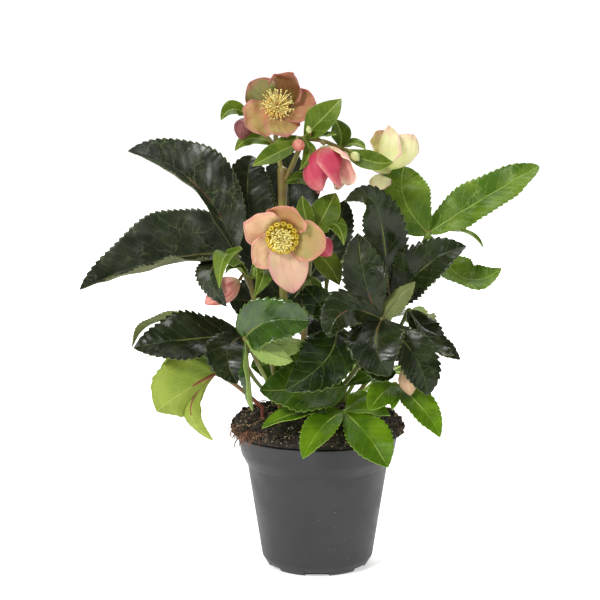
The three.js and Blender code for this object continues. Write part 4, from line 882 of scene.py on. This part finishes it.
# each hue's heart, middle, rim, streaks, foot and patches
SEPAL_ROWS = {
    "olive": [(0.25, 0.21, 0.05), (0.2, 0.2, 0.055), (0.3, 0.12, 0.09),
              (0.34, 0.16, 0.08), (0.3, 0.24, 0.05), (0.16, 0.19, 0.06)],
    # the dark heart and middle of the next hue are painted shade, for the shaded inside of a cupped sepal;
    # its lighter rim is the sepal's own colour
    "umber": [(0.14, 0.055, 0.01), (0.11, 0.04, 0.008), (0.34, 0.14, 0.1),
              (0.17, 0.045, 0.015), (0.2, 0.14, 0.02), (0.15, 0.1, 0.02)],
    "rose": [(0.52, 0.24, 0.12), (0.44, 0.26, 0.11), (0.46, 0.2, 0.15),
             (0.48, 0.15, 0.1), (0.42, 0.3, 0.07), (0.42, 0.34, 0.11)],
    "dusty": [(0.38, 0.18, 0.075), (0.34, 0.16, 0.07), (0.42, 0.16, 0.12),
              (0.4, 0.12, 0.08), (0.34, 0.24, 0.05), (0.3, 0.22, 0.06)],
    "peach": [(0.62, 0.42, 0.25), (0.6, 0.385, 0.26), (0.64, 0.31, 0.27),
              (0.6, 0.27, 0.24), (0.5, 0.4, 0.14), (0.55, 0.45, 0.24)],
    "honey": [(0.7, 0.55, 0.28), (0.7, 0.44, 0.26), (0.7, 0.35, 0.26),
              (0.66, 0.34, 0.2), (0.48, 0.44, 0.12), (0.64, 0.54, 0.25)],
    "sand": [(0.35, 0.28, 0.07), (0.39, 0.27, 0.1), (0.54, 0.25, 0.17),
             (0.4, 0.22, 0.09), (0.34, 0.3, 0.07), (0.31, 0.3, 0.085)],
    "apricot": [(0.32, 0.18, 0.06), (0.44, 0.23, 0.1), (0.58, 0.26, 0.18),
                (0.46, 0.18, 0.1), (0.34, 0.26, 0.06), (0.38, 0.25, 0.09)],
    "pink": [(0.48, 0.035, 0.08), (0.5, 0.05, 0.095), (0.62, 0.2, 0.19),
             (0.32, 0.012, 0.045), (0.42, 0.13, 0.07), (0.56, 0.085, 0.12)],
    "salmon": [(0.8, 0.38, 0.32), (0.84, 0.44, 0.38), (0.88, 0.68, 0.5),
               (0.7, 0.2, 0.19), (0.6, 0.4, 0.18), (0.86, 0.52, 0.44)],
    "cream": [(0.78, 0.77, 0.36), (0.79, 0.76, 0.42), (0.74, 0.48, 0.38),
              (0.68, 0.69, 0.28), (0.54, 0.6, 0.16), (0.7, 0.72, 0.3)],
}
# each hue's base, stripes, tip and foot
BUD_ROWS = {
    "rose": [(0.21, 0.06, 0.055), (0.14, 0.03, 0.035), (0.32, 0.11, 0.1), (0.26, 0.2, 0.08)],
    "crimson": [(0.5, 0.055, 0.09), (0.38, 0.02, 0.06), (0.58, 0.14, 0.16), (0.34, 0.16, 0.1)],
    "peach": [(0.72, 0.33, 0.24), (0.56, 0.13, 0.13), (0.72, 0.27, 0.25), (0.5, 0.42, 0.16), 7],
    "blush": [(0.58, 0.25, 0.16), (0.54, 0.09, 0.09), (0.6, 0.15, 0.14), (0.34, 0.38, 0.09)],
    "sand": [(0.7, 0.48, 0.28), (0.64, 0.38, 0.24), (0.74, 0.54, 0.38), (0.46, 0.46, 0.14)],
    "green": [(0.52, 0.58, 0.22), (0.58, 0.6, 0.28), (0.64, 0.62, 0.3), (0.34, 0.44, 0.12)],
}


def leaf_tone(name, upper, under, stalk, bite, rib_to=0.97, **skin):
    """A tone's three paints, how deep its saw teeth are cut, and how far along a leaflet its rib runs."""
    paints = [
        leaf_paint(f"leaf_{name}_upper", *upper, **skin),
        under_paint(f"leaf_{name}_under", *under),
        stalk_paint(f"leaf_{name}_stalk", *stalk),
    ]
    return dict(paints=paints, bite=bite, rib_to=rib_to)


LEAF_TONES = {name: leaf_tone(name, **row) for name, row in LEAF_ROWS.items()}
STEM_PAINTS = [
    leaf_paint("bract_upper", (0.055, 0.1, 0.005), (0.125, 0.18, 0.014), (0.32, 0.4, 0.09),
               gloss=0.42, net_share=0.12, side_share=0.25),
    under_paint("bract_under", (0.13, 0.21, 0.03), (0.2, 0.28, 0.05), (0.36, 0.42, 0.14)),
    stalk_paint("flower_stalk", (0.19, 0.18, 0.03), (0.15, 0.06, 0.022), share=0.42),
]
SEPAL_PAINTS = {hue: sepal_paint(f"sepal_{hue}", *row) for hue, row in SEPAL_ROWS.items()}
CALYX_PAINT = plain_paint("calyx", (0.3, 0.34, 0.12), (0.4, 0.42, 0.17), 200)
FILAMENT, ANTHER, STYLE = range(3)
STAMEN_PAINTS = [
    plain_paint("filament", (0.8, 0.68, 0.22), (0.86, 0.78, 0.36), 400, gloss=0.5),
    plain_paint("anther", (0.82, 0.68, 0.16), (0.92, 0.86, 0.4), 500, gloss=0.7, relief=0.0002, fine=3000),
    plain_paint("style", (0.62, 0.42, 0.16), (0.7, 0.5, 0.22), 300, gloss=0.5),
]
NECTARY_PAINTS = dict(
    gold=plain_paint("nectary_gold", (0.6, 0.28, 0.01), (0.74, 0.46, 0.03), 350, gloss=0.35),
    olive=plain_paint("nectary_olive", (0.46, 0.31, 0.01), (0.68, 0.52, 0.04), 350, gloss=0.35),
)
BUD_PAINTS = {hue: bud_paint(f"bud_{hue}", *row) for hue, row in BUD_ROWS.items()}
POT_PAINT = pot_paint()
PEAT, CRUMB, STRAW, MOSS, PEBBLE, ROOT, OLIVE_CRUMB = range(7)
PEAT_PAINTS = [
    plain_paint("peat", (0.008, 0.006, 0.004), (0.035, 0.024, 0.013), 190,
                gloss=0.92, relief=0.0012, fine=700, low=0.4, high=0.7),
    plain_paint("peat_crumbs", (0.014, 0.009, 0.006), (0.1, 0.062, 0.032), 210,
                gloss=0.9, relief=0.0006, low=0.4, high=0.7),
    plain_paint("straw", (0.24, 0.15, 0.07), (0.42, 0.3, 0.16), 260, gloss=0.75),
    plain_paint("moss", (0.025, 0.045, 0.008), (0.08, 0.11, 0.02), 320, gloss=0.9),
    plain_paint("pebble", (0.36, 0.34, 0.3), (0.55, 0.53, 0.48), 240),
    plain_paint("root", (0.13, 0.05, 0.022), (0.24, 0.11, 0.05), 160),
    plain_paint("olive_crumbs", (0.03, 0.03, 0.01), (0.12, 0.11, 0.045), 300, gloss=0.9, relief=0.0004),
]


# ---- the pot ----
POT_HEIGHT = 109
RIM_RADIUS = 65
FOOT_RADIUS = 40
# the innermost rings of the pot's floor
AXIS_RADIUS = 0.9
SHOULDER_RADIUS = 45
SHOULDER_HEIGHT = 8
NECK_RADIUS = 57
COLLAR_FOOT_HEIGHT = 84.5
COLLAR_STEP = 1
COLLAR_RADIUS = 62
COLLAR_HEIGHT = 93
WALL = 1.8
FLOOR_THICK = 2.4
CORNER_RADIUS = 1.2
CORNER_STEPS = 4
POT_COLUMNS = 160
DRAIN_COUNT = 6
DRAIN_WIDTH = 19
DRAIN_DEPTH = 12
DRAIN_INSET = 5
DRAIN_HEIGHT = 3


def rounded_profile(corners):
    """A profile of radii and heights with its corners rounded off."""
    corners = [np.asarray(c, float) for c in corners]
    profile = [corners[0]]
    for a, b, c in zip(corners, corners[1:], corners[2:]):
        reach = min(CORNER_RADIUS, 0.45 * np.linalg.norm(a - b), 0.45 * np.linalg.norm(c - b))
        near, far = b + unit(a - b) * reach, b + unit(c - b) * reach
        for t in np.linspace(0, 1, CORNER_STEPS + 1):
            profile.append(near * (1 - t) ** 2 + 2 * b * t * (1 - t) + far * t**2)
    profile.append(corners[-1])
    return np.array(profile)


def cut_drain(pot, turn):
    """A notch in the pot's foot, at an angle round it."""
    away = (FOOT_RADIUS + DRAIN_DEPTH / 2 - DRAIN_INSET) * MM
    bpy.ops.mesh.primitive_cube_add(size=1)
    notch = bpy.context.object
    notch.scale = (DRAIN_DEPTH * MM, DRAIN_WIDTH * MM, 2 * DRAIN_HEIGHT * MM)
    notch.rotation_euler = (0, 0, turn)
    notch.location = (away * math.cos(turn), away * math.sin(turn), 0)
    cut = pot.modifiers.new("drain", "BOOLEAN")
    cut.operation = "DIFFERENCE"
    cut.object = notch
    cut.solver = "EXACT"
    bpy.context.view_layer.objects.active = pot
    bpy.ops.object.modifier_apply(modifier=cut.name)
    bpy.data.objects.remove(notch)


def build_pot():
    profile = rounded_profile([
        [AXIS_RADIUS, 0],
        [FOOT_RADIUS, 0],
        [SHOULDER_RADIUS, SHOULDER_HEIGHT],
        [NECK_RADIUS, COLLAR_FOOT_HEIGHT],
        [NECK_RADIUS + COLLAR_STEP, COLLAR_FOOT_HEIGHT + COLLAR_STEP],
        [COLLAR_RADIUS, COLLAR_HEIGHT],
        [RIM_RADIUS, POT_HEIGHT],
        [RIM_RADIUS - WALL, POT_HEIGHT],
        [COLLAR_RADIUS - WALL, COLLAR_HEIGHT],
        [NECK_RADIUS - WALL, COLLAR_FOOT_HEIGHT],
        [SHOULDER_RADIUS - WALL, SHOULDER_HEIGHT],
        [FOOT_RADIUS - WALL, FLOOR_THICK],
        [AXIS_RADIUS, FLOOR_THICK],
    ])
    radius, height = profile.T[..., None]
    angle = turns(POT_COLUMNS)
    rings = np.broadcast_arrays(radius * np.cos(angle), radius * np.sin(angle), height)
    form = Form()
    turned(form, np.stack(rings, -1), [[0, 0, 0], [0, 0, FLOOR_THICK]])
    pot = mesh_of("pot_look", form, [POT_PAINT])
    for i in range(DRAIN_COUNT):
        cut_drain(pot, FULL_TURN * i / DRAIN_COUNT - math.pi / 2)
    stand_for(pot, "pot")


# ---- the peat ----
PEAT_CROWN_HEIGHT = 131
PEAT_CLEAR = 0.6
GAP = 0.3
SIDE_OVERHANG = 7.5
BACK_OVERHANG = 3
OVERHANG_FALL = 1.6
PEAT_SEED = 4
PEAT_COLUMNS = 220
CRUMB_COUNT = 3400
CRUMB_SIZES = [1.2, 1.8, 2.6, 4.0]
CRUMB_SHARES = [0.4, 0.32, 0.2, 0.08]
STRAW_COUNT = 150
MOSS_COUNT = 420
MOSS_TURNS = [0.55, 2.5, 4.4, 5.4]
PEBBLE_PLACE = [-21, -49, 122.5]
# fibres and roots that lie on the peat and hang over the rim at the plant's left
FIBRE_COUNT = 90
FIBRE_TURN = math.radians(208)
ROOTS = [
    [(-38, -22, 127), (-52, -27, 121), (-61, -27, 113), (-66, -26, 106), (-67, -25, 99)],
    [(-44, -30, 124), (-54, -34, 118), (-60, -34, 111), (-63, -33, 104)],
    [(-36, -38, 124), (-45, -44, 118), (-52, -44, 112), (-55, -43, 107)],
    [(-46, -16, 126), (-58, -18, 119), (-66, -17, 112), (-69, -14, 107)],
]
# each ring of the peat: its radius and height, and its shares of the overhang and of the lumps
PEAT_RINGS = np.array([
    [0.5, FLOOR_THICK + GAP, 0, 0],
    [FOOT_RADIUS - WALL - PEAT_CLEAR, FLOOR_THICK + GAP, 0, 0],
    [SHOULDER_RADIUS - WALL - PEAT_CLEAR, SHOULDER_HEIGHT + 0.4, 0, 0],
    [NECK_RADIUS - WALL - PEAT_CLEAR, COLLAR_FOOT_HEIGHT + 0.2, 0, 0],
    [RIM_RADIUS - WALL - PEAT_CLEAR, POT_HEIGHT + 0.4, 0, 0],
    [RIM_RADIUS - WALL, POT_HEIGHT + 1.4, 0.8, 0],
    [62, 115, 1, 0.4],
    [58, 121.5, 0.9, 1],
    [46, 127, 0.2, 1],
    [25, PEAT_CROWN_HEIGHT - 1, 0, 1],
    [0.5, PEAT_CROWN_HEIGHT, 0, 1],
])
# an icosahedron's corners and faces
CRUMB_CORNERS = np.array([
    np.roll([x, y * (1 + 5**0.5) / 2, 0], k) for k in range(3) for y in (1, -1) for x in (-1, 1)
]) / 1.9
CRUMB_FACES = [
    (0, 11, 5), (0, 5, 1), (0, 1, 7), (0, 7, 10), (0, 10, 11),
    (1, 5, 9), (5, 11, 4), (11, 10, 2), (10, 7, 6), (7, 1, 8),
    (3, 9, 4), (3, 4, 2), (3, 2, 6), (3, 6, 8), (3, 8, 9),
    (4, 9, 5), (2, 4, 11), (6, 2, 10), (8, 6, 7), (9, 8, 1),
]


def peat_place(level, angle):
    """The peat's surface: level 0 is the middle of its foot, 5 the rim, and 10 its crown."""
    ring = np.arange(len(PEAT_RINGS))
    radius, height, over, lumpy = (np.interp(level, ring, column) for column in PEAT_RINGS.T)
    sides = SIDE_OVERHANG * np.abs(np.cos(angle)) ** OVERHANG_FALL
    radius = radius + over * (sides + BACK_OVERHANG * np.maximum(0, np.sin(angle)))
    x, y = radius * np.cos(angle), radius * np.sin(angle)
    lump = 1.6 * np.sin(0.19 * x + 1.3) * np.cos(0.23 * y - 0.4) + 0.9 * np.sin(0.47 * x - 0.31 * y + 0.8)
    return np.stack([x, y, height + lumpy * lump], -1)


def peat_body(form, rng):
    levels = np.concatenate([np.linspace(0, 4, 12, endpoint=False), np.linspace(4, 10, 88)])
    level, angle = np.meshgrid(levels, turns(PEAT_COLUMNS), indexing="ij")
    rings = peat_place(level, angle)
    height = 0
    for high, size, count in ((1.2, 14, 14), (0.8, 5, 18), (0.45, 2.4, 20)):
        height = height + high * ripples(rings, rng, size, count)
    away = unit(rings * [1, 1, 0]) * 0.5 + np.array([0, 0, 0.85])
    rings = rings + away * (height * smooth_step(level, 4.6, 6.0) * 0.7)[..., None]
    turned(form, rings, [[0, 0, FLOOR_THICK + GAP], rings[-1].mean(0)], PEAT)


def scatter_crumbs(form, rng):
    """Small broken lumps: icosahedra with their corners moved about."""
    for _ in range(CRUMB_COUNT):
        level, angle = rng.uniform(5.3, 9.9), rng.uniform(0, FULL_TURN)
        size = rng.choice(CRUMB_SIZES, p=CRUMB_SHARES)
        kind = rng.choice([CRUMB, STRAW, OLIVE_CRUMB], p=[0.5, 0.2, 0.3]) if size < 2 else CRUMB
        centre = peat_place(level, angle) + [0, 0, rng.uniform(-0.1, 0.7)]
        size = size * rng.uniform(0.8, 1.3)
        ball = CRUMB_CORNERS * rng.uniform(0.6, 1.25, (12, 1)) * rng.uniform(0.6, 1.2, (1, 3))
        form.add(centre + ball * size / 2, CRUMB_FACES, slot=kind, flat=True)


def scatter_straws(form, rng):
    for _ in range(STRAW_COUNT):
        level, angle = rng.uniform(6.6, 9.6), rng.uniform(0, FULL_TURN)
        start = peat_place(level, angle) + [0, 0, rng.uniform(0.6, 1.6)]
        turn, long = rng.uniform(0, FULL_TURN), rng.uniform(3, 9)
        way = np.array([math.cos(turn), math.sin(turn), rng.uniform(-0.25, 0.25)]) * long
        bent = start + way * 0.5 + rng.normal(size=3) * 0.8
        path = curve_through([start, bent, start + way], 4)
        tube(form, path, rng.uniform(0.18, 0.42), columns=5, slot=STRAW)


def scatter_moss(form, rng):
    for _ in range(MOSS_COUNT):
        level, angle = rng.uniform(6.5, 9.0), rng.choice(MOSS_TURNS) + rng.normal() * 0.16
        start = peat_place(level, angle)
        top = start + np.array([rng.normal() * 0.8, rng.normal() * 0.8, rng.uniform(1.2, 3.0)])
        tube(form, [start, (start + top) / 2 + [0.2, 0, 0], top], [0.35, 0.3, 0.1], columns=4, slot=MOSS)


def hang_fibres(form, rng):
    for _ in range(FIBRE_COUNT):
        turn, level = FIBRE_TURN + rng.normal() * 0.16, rng.uniform(5.5, 6.6)
        start = peat_place(level, turn)
        away = np.array([math.cos(turn), math.sin(turn), 0])
        bent = start + away * rng.uniform(0.8, 2.4) + rng.normal(size=3) * [1.6, 1.6, 0.8]
        hung = bent + away * rng.uniform(-0.6, 0.8) + rng.normal(size=3) * 1.4 - [0, 0, rng.uniform(2, 7)]
        path = curve_through([start, bent, hung], 4)
        tube(form, path, rng.uniform(0.14, 0.32), columns=5, slot=ROOT)


def build_peat():
    rng = np.random.default_rng(PEAT_SEED)
    form = Form()
    for step in (peat_body, scatter_crumbs, scatter_straws, scatter_moss, hang_fibres):
        step(form, rng)
    egg(form, PEBBLE_PLACE, [1, 0.2, 0.1], long=6.5, wide=4.6, rows=10, columns=14, slot=PEBBLE)
    for route in ROOTS:
        path = curve_through(route, 8)
        tube(form, path, np.linspace(1.1, 0.35, len(path)), columns=7, slot=ROOT)
    stand_for(mesh_of("peat_look", form, PEAT_PAINTS), "peat")


# ---- leaves ----
LEAF_SEED = 100
STALK_RADIUS = 1.7
# how the stalk swells towards the joint of the leaflets
JOINT_SWELLING = [0.1, 0.35, 0.6, 0.7]
JOINT_LONG = 5.2
JOINT_WIDE = 4.9
# half the columns across a leaflet: one with a rolled edge, one wider than WIDE, and any other
ROLLED_COLUMNS = 18
WIDE_COLUMNS = 8
NARROW_COLUMNS = 6
WIDE = 24


def build_leaf(number, name, tone, foot, via, joint, leaflets):
    rng = np.random.default_rng(LEAF_SEED + number)
    form = Form()
    tone = LEAF_TONES[tone]
    path = rooted(foot, [via, joint])
    radius = np.full(len(path), STALK_RADIUS)
    radius[-len(JOINT_SWELLING):] += JOINT_SWELLING
    tube(form, path, radius, columns=14, slot=STALK)
    egg(form, joint, path[-1] - path[-2], JOINT_LONG, JOINT_WIDE, rows=10, columns=14, slot=STALK)
    for row in leaflets:
        blade = {**row, "rib": [joint, *row["rib"]]}
        columns = WIDE_COLUMNS if blade["wide"] > WIDE else NARROW_COLUMNS
        leaflet_sheet(form, blade, rng, tone["bite"], ROLLED_COLUMNS if "curl" in blade else columns)
        midrib(form, blade, 0.55 + blade["wide"] * 0.012, tone["rib_to"])
    stand_for(mesh_of(f"{name}_look", form, tone["paints"]), name)


# ---- flower stems ----
STEM_SEED = 200
# a shoot's end swells by this share of its radius, over this share of its length
END_SWELLING = 0.18
END_SHARE = 0.12


def build_stem(number, name, foot, shoots, bracts):
    rng = np.random.default_rng(STEM_SEED + number)
    form = Form()
    for i, (radius, route) in enumerate(shoots):
        path = curve_through(route, 14) if i else rooted(foot, route)
        swollen = 1 + END_SWELLING * np.exp(-((np.linspace(-1, 0, len(path)) / END_SHARE) ** 2))
        tube(form, path, radius * swollen, columns=16, slot=STALK)
    for blade in bracts:
        leaflet_sheet(form, blade, rng, bite=0, columns=6, relief=0.5)
        midrib(form, blade, thick=0.35, tip=0.9)
    stand_for(mesh_of(f"{name}_look", form, STEM_PAINTS), name)


# ---- blooms ----
BLOOM_SEED = 300
CALYX_THICK = 1.6
CALYX_COLUMNS = 24
# the calyx's radii and heights
CALYX = [(3, 0), (4.275, 0.7), (4.5, 1.2), (4.05, CALYX_THICK)]
# how far from the axis a sepal starts, and how far its face is turned out
SEPAL_ROOT = 2
SEPAL_TURN_OUT = 0.5
SEPAL_ROWS_ALONG = 46
SEPAL_COLUMNS = 14
STAMEN_CORE_WIDE = 5.6
FILAMENT_RADII = (0.34, 0.22)
ANTHER_LONG = 2.2
ANTHER_WIDE = 1.4
# a style's heights over the stamens' heart and its distances from the axis, and its radii
STYLE_ROUTE = [(0, 0.8), (5, 1.6), (8.5, 2.6)]
STYLE_RADII = (1.1, 0.35)
NECTARY_COLUMNS = 16
COLLAR_COLUMNS = 40


class Stand:
    """Where a bloom or a bud sits and looks, and the places about it."""

    def __init__(self, base, axis):
        self.base = np.asarray(base, float)
        self.out = unit(np.asarray(axis, float))
        self.right = unit(np.cross([0, 0, 1], self.out))
        self.over = np.cross(self.out, self.right)

    def aside(self, turn):
        """The direction at an angle round the axis, or the directions at an array of angles."""
        turn = np.asarray(turn)[..., None]
        return self.right * np.cos(turn) + self.over * np.sin(turn)

    def place(self, height, radius=0, turn=0):
        """The points at a height along the axis and at a radius and an angle round it."""
        height, radius = np.asarray(height)[..., None], np.asarray(radius)[..., None]
        return self.base + self.out * height + self.aside(turn) * radius


def sepal_blade(stand, sepal):
    turn = math.radians(sepal["turn"])
    outward = stand.aside(turn)
    start = stand.place(CALYX_THICK / 2, SEPAL_ROOT, turn)
    rib = [start]
    for share, slope in ((0.5, sepal["belly"]), (1, sepal["lift"])):
        rise = math.radians(slope)
        rib.append(start + share * sepal["long"] * (outward * math.cos(rise) + stand.out * math.sin(rise)))
    roll = np.cross(stand.out, outward) * math.tan(math.radians(sepal["roll"]))
    return {**sepal, "rib": rib, "up": stand.out - SEPAL_TURN_OUT * outward + roll}


def sepal_sheet(form, blade, rng, slot):
    """A sepal: thin, with a softly frilled edge and faint ridges along it."""
    along = (1 - np.cos(np.linspace(0, math.pi, SEPAL_ROWS_ALONG))) / 2
    s, t = np.meshgrid(along, np.linspace(-1, 1, 2 * SEPAL_COLUMNS + 1), indexing="ij")
    width = half_width(blade, s)
    surface = blade_surface(blade, s, t, np.abs(t) * width)
    edge = np.maximum(np.abs(t), s**2)
    first, second = rng.uniform(0, FULL_TURN, 2)
    frill = np.sin(FULL_TURN * 3.1 * s + first + 1.6 * np.sign(t))
    frill += 0.7 * np.sin(2.6 * math.pi * t + second)
    ridge = 0.14 * np.cos(t * 17 + first) * np.sin(math.pi * s)
    sway = 0.5 * ripples(surface, rng, 15, 8)
    relief = smooth_step(s, 0.02, 0.3) * (0.45 * frill * edge**3 + ridge + sway)
    surface = surface + normals(surface) * relief[..., None]
    thick = 0.75 * (1 - 0.5 * edge**4)
    place = np.stack([s * blade["long"], t * width, width], -1)
    share = np.stack([s, t, np.full_like(s, rng.uniform())], -1)
    sheet(form, surface, thick, (slot, slot), place, share)


def build_sepals(rng, bloom, stand):
    form = Form()
    sepals = [{**SEPAL_FORM, **bloom["form"], **sepal} for sepal in bloom["sepals"]]
    hues = sorted({sepal["hue"] for sepal in sepals})
    for sepal in sepals:
        sepal_sheet(form, sepal_blade(stand, sepal), rng, hues.index(sepal["hue"]))
    radius, height = np.array(CALYX).T[..., None]
    rings = stand.place(height, radius, turns(CALYX_COLUMNS))
    turned(form, rings, [stand.base, stand.place(CALYX_THICK)], len(hues))
    paints = [*(SEPAL_PAINTS[hue] for hue in hues), CALYX_PAINT]
    return mesh_of(f"{bloom['name']}_sepals_look", form, paints)


def build_stamens(rng, bloom, stand):
    """A ball of stamens on a small core, with the styles in the middle."""
    stamens = bloom["stamens"]
    rise, slim, nearest = stamens["rise"], stamens["slim"], stamens["nearest"]
    heart = stand.place(rise)
    form = Form()
    egg(form, stand.place(rise - 1), stand.out, rise, STAMEN_CORE_WIDE, rows=8, columns=14, slot=FILAMENT)
    for i in range(stamens["count"]):
        share = (i + 0.5) / stamens["count"]
        lean = math.radians(nearest + (stamens["spread"] - nearest) * share**0.5)
        turn = i * GOLDEN_ANGLE + rng.normal() * 0.15
        way = stand.out * math.cos(lean) + stand.aside(turn) * math.sin(lean)
        long = stamens["long"] * rng.uniform(0.8, 1.06)
        start = heart + way * 0.6
        droop = rng.normal(size=3) * 0.5 + np.array([0, 0, -0.5])
        end = start + way * (long - 0.4)
        middle = (start + end) / 2 + stand.out * 0.5 * math.sin(lean) + droop * 0.5
        path = curve_through([start, middle, end], 4)
        tube(form, path, np.linspace(*FILAMENT_RADII, len(path)) * slim, columns=6, slot=FILAMENT)
        tip = way * 0.5 + rng.normal(size=3) * 0.45
        long, wide = ANTHER_LONG * slim, ANTHER_WIDE * slim
        egg(form, end + way * 0.3, tip, long, wide, rows=6, columns=8, slot=ANTHER)
    for turn in turns(stamens["styles"]) + 0.4:
        path = curve_through([stand.place(rise + high, away, turn) for high, away in STYLE_ROUTE], 5)
        tube(form, path, np.linspace(*STYLE_RADII, len(path)), columns=8, slot=STYLE)
    return mesh_of(f"{bloom['name']}_stamens_look", form, STAMEN_PAINTS)


def nectary(form, stand, ring, turn, depth):
    """A small curved trumpet, with its mouth turned in."""
    aside = stand.aside(turn)
    foot = stand.place(ring["rise"] - 0.4, ring["inner"] + 0.2, turn)
    mouth = stand.place(ring["rise"] + depth, ring["outer"], turn)
    middle = (foot + mouth) / 2 + aside * 1.4 - stand.out * 0.3
    path = curve_through([foot, middle, mouth], 8)
    share = np.linspace(0, 1, len(path))
    reach = math.pi * ring["outer"] / ring["count"]
    wide = np.interp(share, [0, 0.35, 0.8, 1], [0.7, reach * 0.55, reach * 0.85, reach * 0.94])
    flat = np.interp(share, [0, 0.4, 1], [1, 1, 0.68])[:, None, None]
    across = unit(np.cross(stand.out, aside))
    high = np.cross(unit(np.gradient(path, axis=0)), across)[:, None]
    a = turns(NECTARY_COLUMNS)[None, :, None]
    shell = path[:, None] + wide[:, None, None] * (across * np.cos(a) + flat * high * np.sin(a))
    lip = shell[-1] + aside * 0.25
    half = len(path) // 2
    inner = path[:half:-1, None] + (shell[:half:-1] - path[:half:-1, None]) * 0.36
    turned(form, np.concatenate([shell, [lip], inner]), [foot, path[half + 1]])


def build_nectaries(rng, bloom, stand):
    """A ring of nectaries round the stamens, with a collar under it."""
    ring = bloom["nectaries"]
    inner, rise = ring["inner"], ring["rise"]
    form = Form()
    for turn in turns(ring["count"]) + 0.12:
        nectary(form, stand, ring, turn, ring["deep"] + rng.uniform(-0.4, 0.5))
    collar = [(inner - 0.1, -0.8), (inner + 1.3, -0.9), (inner + 1.5, 0.4), (inner - 0.1, 0.4)]
    radius, height = np.array(collar).T[..., None]
    faces = grid_faces(len(collar) + 1, COLLAR_COLUMNS, closed=True) % (len(collar) * COLLAR_COLUMNS)
    form.add(stand.place(rise + height, radius, turns(COLLAR_COLUMNS)), faces)
    return mesh_of(f"{bloom['name']}_nectaries_look", form, [NECTARY_PAINTS[ring["hue"]]])


def build_bloom(number, bloom):
    rng = np.random.default_rng(BLOOM_SEED + number)
    stand = Stand(bloom["base"], bloom["axis"])
    stand_for(build_sepals(rng, bloom, stand), f"{bloom['name']}_sepals")
    stand_for(build_stamens(rng, bloom, stand), f"{bloom['name']}_stamens")
    if "nectaries" in bloom:
        stand_for(build_nectaries(rng, bloom, stand), f"{bloom['name']}_nectaries")


# ---- buds ----
BUD_SEED = 400
# under 1, this moves a bud's widest place towards its foot
BUD_LOW = 0.85
BUD_FULLNESS = 0.75
BUD_ROWS_ALONG = 34
BUD_COLUMNS = 72
OUTER_SEPALS = 3


def build_bud(number, name, hue, long, wide, base, axis):
    """An egg of furled sepals: each of the three outer ones stands proud and lies over the next."""
    rng = np.random.default_rng(BUD_SEED + number)
    stand = Stand(base, axis)
    along = (1 - np.cos(np.linspace(0.12, math.pi - 0.08, BUD_ROWS_ALONG))) / 2
    s, a = np.meshgrid(along, turns(BUD_COLUMNS), indexing="ij")
    lap = (a / FULL_TURN * OUTER_SEPALS + 0.25 * s + rng.uniform()) % 1
    furl = 0.055 * (lap**1.5 - 0.4) * smooth_step(s, 0.0, 0.2)
    ridge = 0.012 * np.sin(a * 12 + 3 * s)
    radius = wide / 2 * np.sin(math.pi * s**BUD_LOW) ** BUD_FULLNESS * (1 + furl + ridge)
    form = Form()
    turned(form, stand.place(GAP + s * long, radius, a), [stand.place(GAP), stand.place(GAP + long)])
    stand_for(mesh_of(f"{name}_look", form, [BUD_PAINTS[hue]]), name)


build_pot()
build_peat()
for number, leaf in enumerate(LEAVES):
    build_leaf(number, *leaf)
for number, stem in enumerate(STEMS):
    build_stem(number, *stem)
for number, bloom in enumerate(BLOOMS):
    build_bloom(number, bloom)
for number, bud in enumerate(BUDS):
    build_bud(number, *bud)

# ---- the studio ----
FLOOR_REACH = 40000
FLOOR_DROP = 0.05
WORLD_LIGHT = 0.17
CAMERA_PLACE = (0, -1.556, 0.484)
CAMERA_TILT = 80.29
CAMERA_TURN = 0.524
CAMERA_LENS = 118.02
SENSOR_WIDTH = 36
AIM = Vector((0, 0, 0.2))
# each light: its name, place, size and power
LIGHTS = [
    ("key", (-0.8, -1.3, 1.3), 0.4, 23.5),
    ("fill", (1.3, -1.2, 0.9), 1.0, 5),
    ("top", (0.0, 0.5, 1.9), 1.2, 24),
    ("back", (0.0, 1.7, 1.3), 1.8, 26),
]


def ground_paint():
    """A pale floor that glows, so that it runs into white far from the plant."""
    paint = Paint("ground")
    where = paint.place()
    tone = paint.mix(paint.ramp(paint.noise(where, 2, 2), 0.3, 0.7), (0.93, 0.93, 0.93), (0.95, 0.95, 0.95))
    away = paint.node("ShaderNodeVectorMath", "Value", {0: where}, operation="LENGTH")
    glow = paint.mix(paint.ramp(away, 0.4, 2), (0.55, 0.55, 0.55), (1, 1, 1))
    return paint.done(tone, 0.9, Emission_Color=glow, Emission_Strength=0.95)


def placed(name, data, place):
    made = bpy.data.objects.new(name, data)
    made.location = place
    bpy.context.scene.collection.objects.link(made)
    return made


def studio():
    scene = bpy.context.scene
    form = Form()
    ends = (-FLOOR_REACH, FLOOR_REACH)
    form.add([[x, y, -FLOOR_DROP] for x in ends for y in ends], [(0, 2, 3, 1)])
    mesh_of("ground", form, [ground_paint()])
    world = bpy.data.worlds.new("white")
    world.use_nodes = True
    world.node_tree.nodes["Background"].inputs["Color"].default_value = (1, 1, 1, 1)
    world.node_tree.nodes["Background"].inputs["Strength"].default_value = WORLD_LIGHT
    scene.world = world
    for name, place, size, power in LIGHTS:
        data = bpy.data.lights.new(name, "AREA")
        data.size = size
        data.energy = power
        lamp = placed(name, data, place)
        lamp.rotation_euler = (AIM - lamp.location).to_track_quat("-Z", "Y").to_euler()
    scene.view_settings.view_transform = "Standard"
    data = bpy.data.cameras.new("camera")
    data.lens = CAMERA_LENS
    data.sensor_width = SENSOR_WIDTH
    scene.camera = placed("camera", data, CAMERA_PLACE)
    scene.camera.rotation_euler = (math.radians(CAMERA_TILT), 0, math.radians(CAMERA_TURN))


studio()
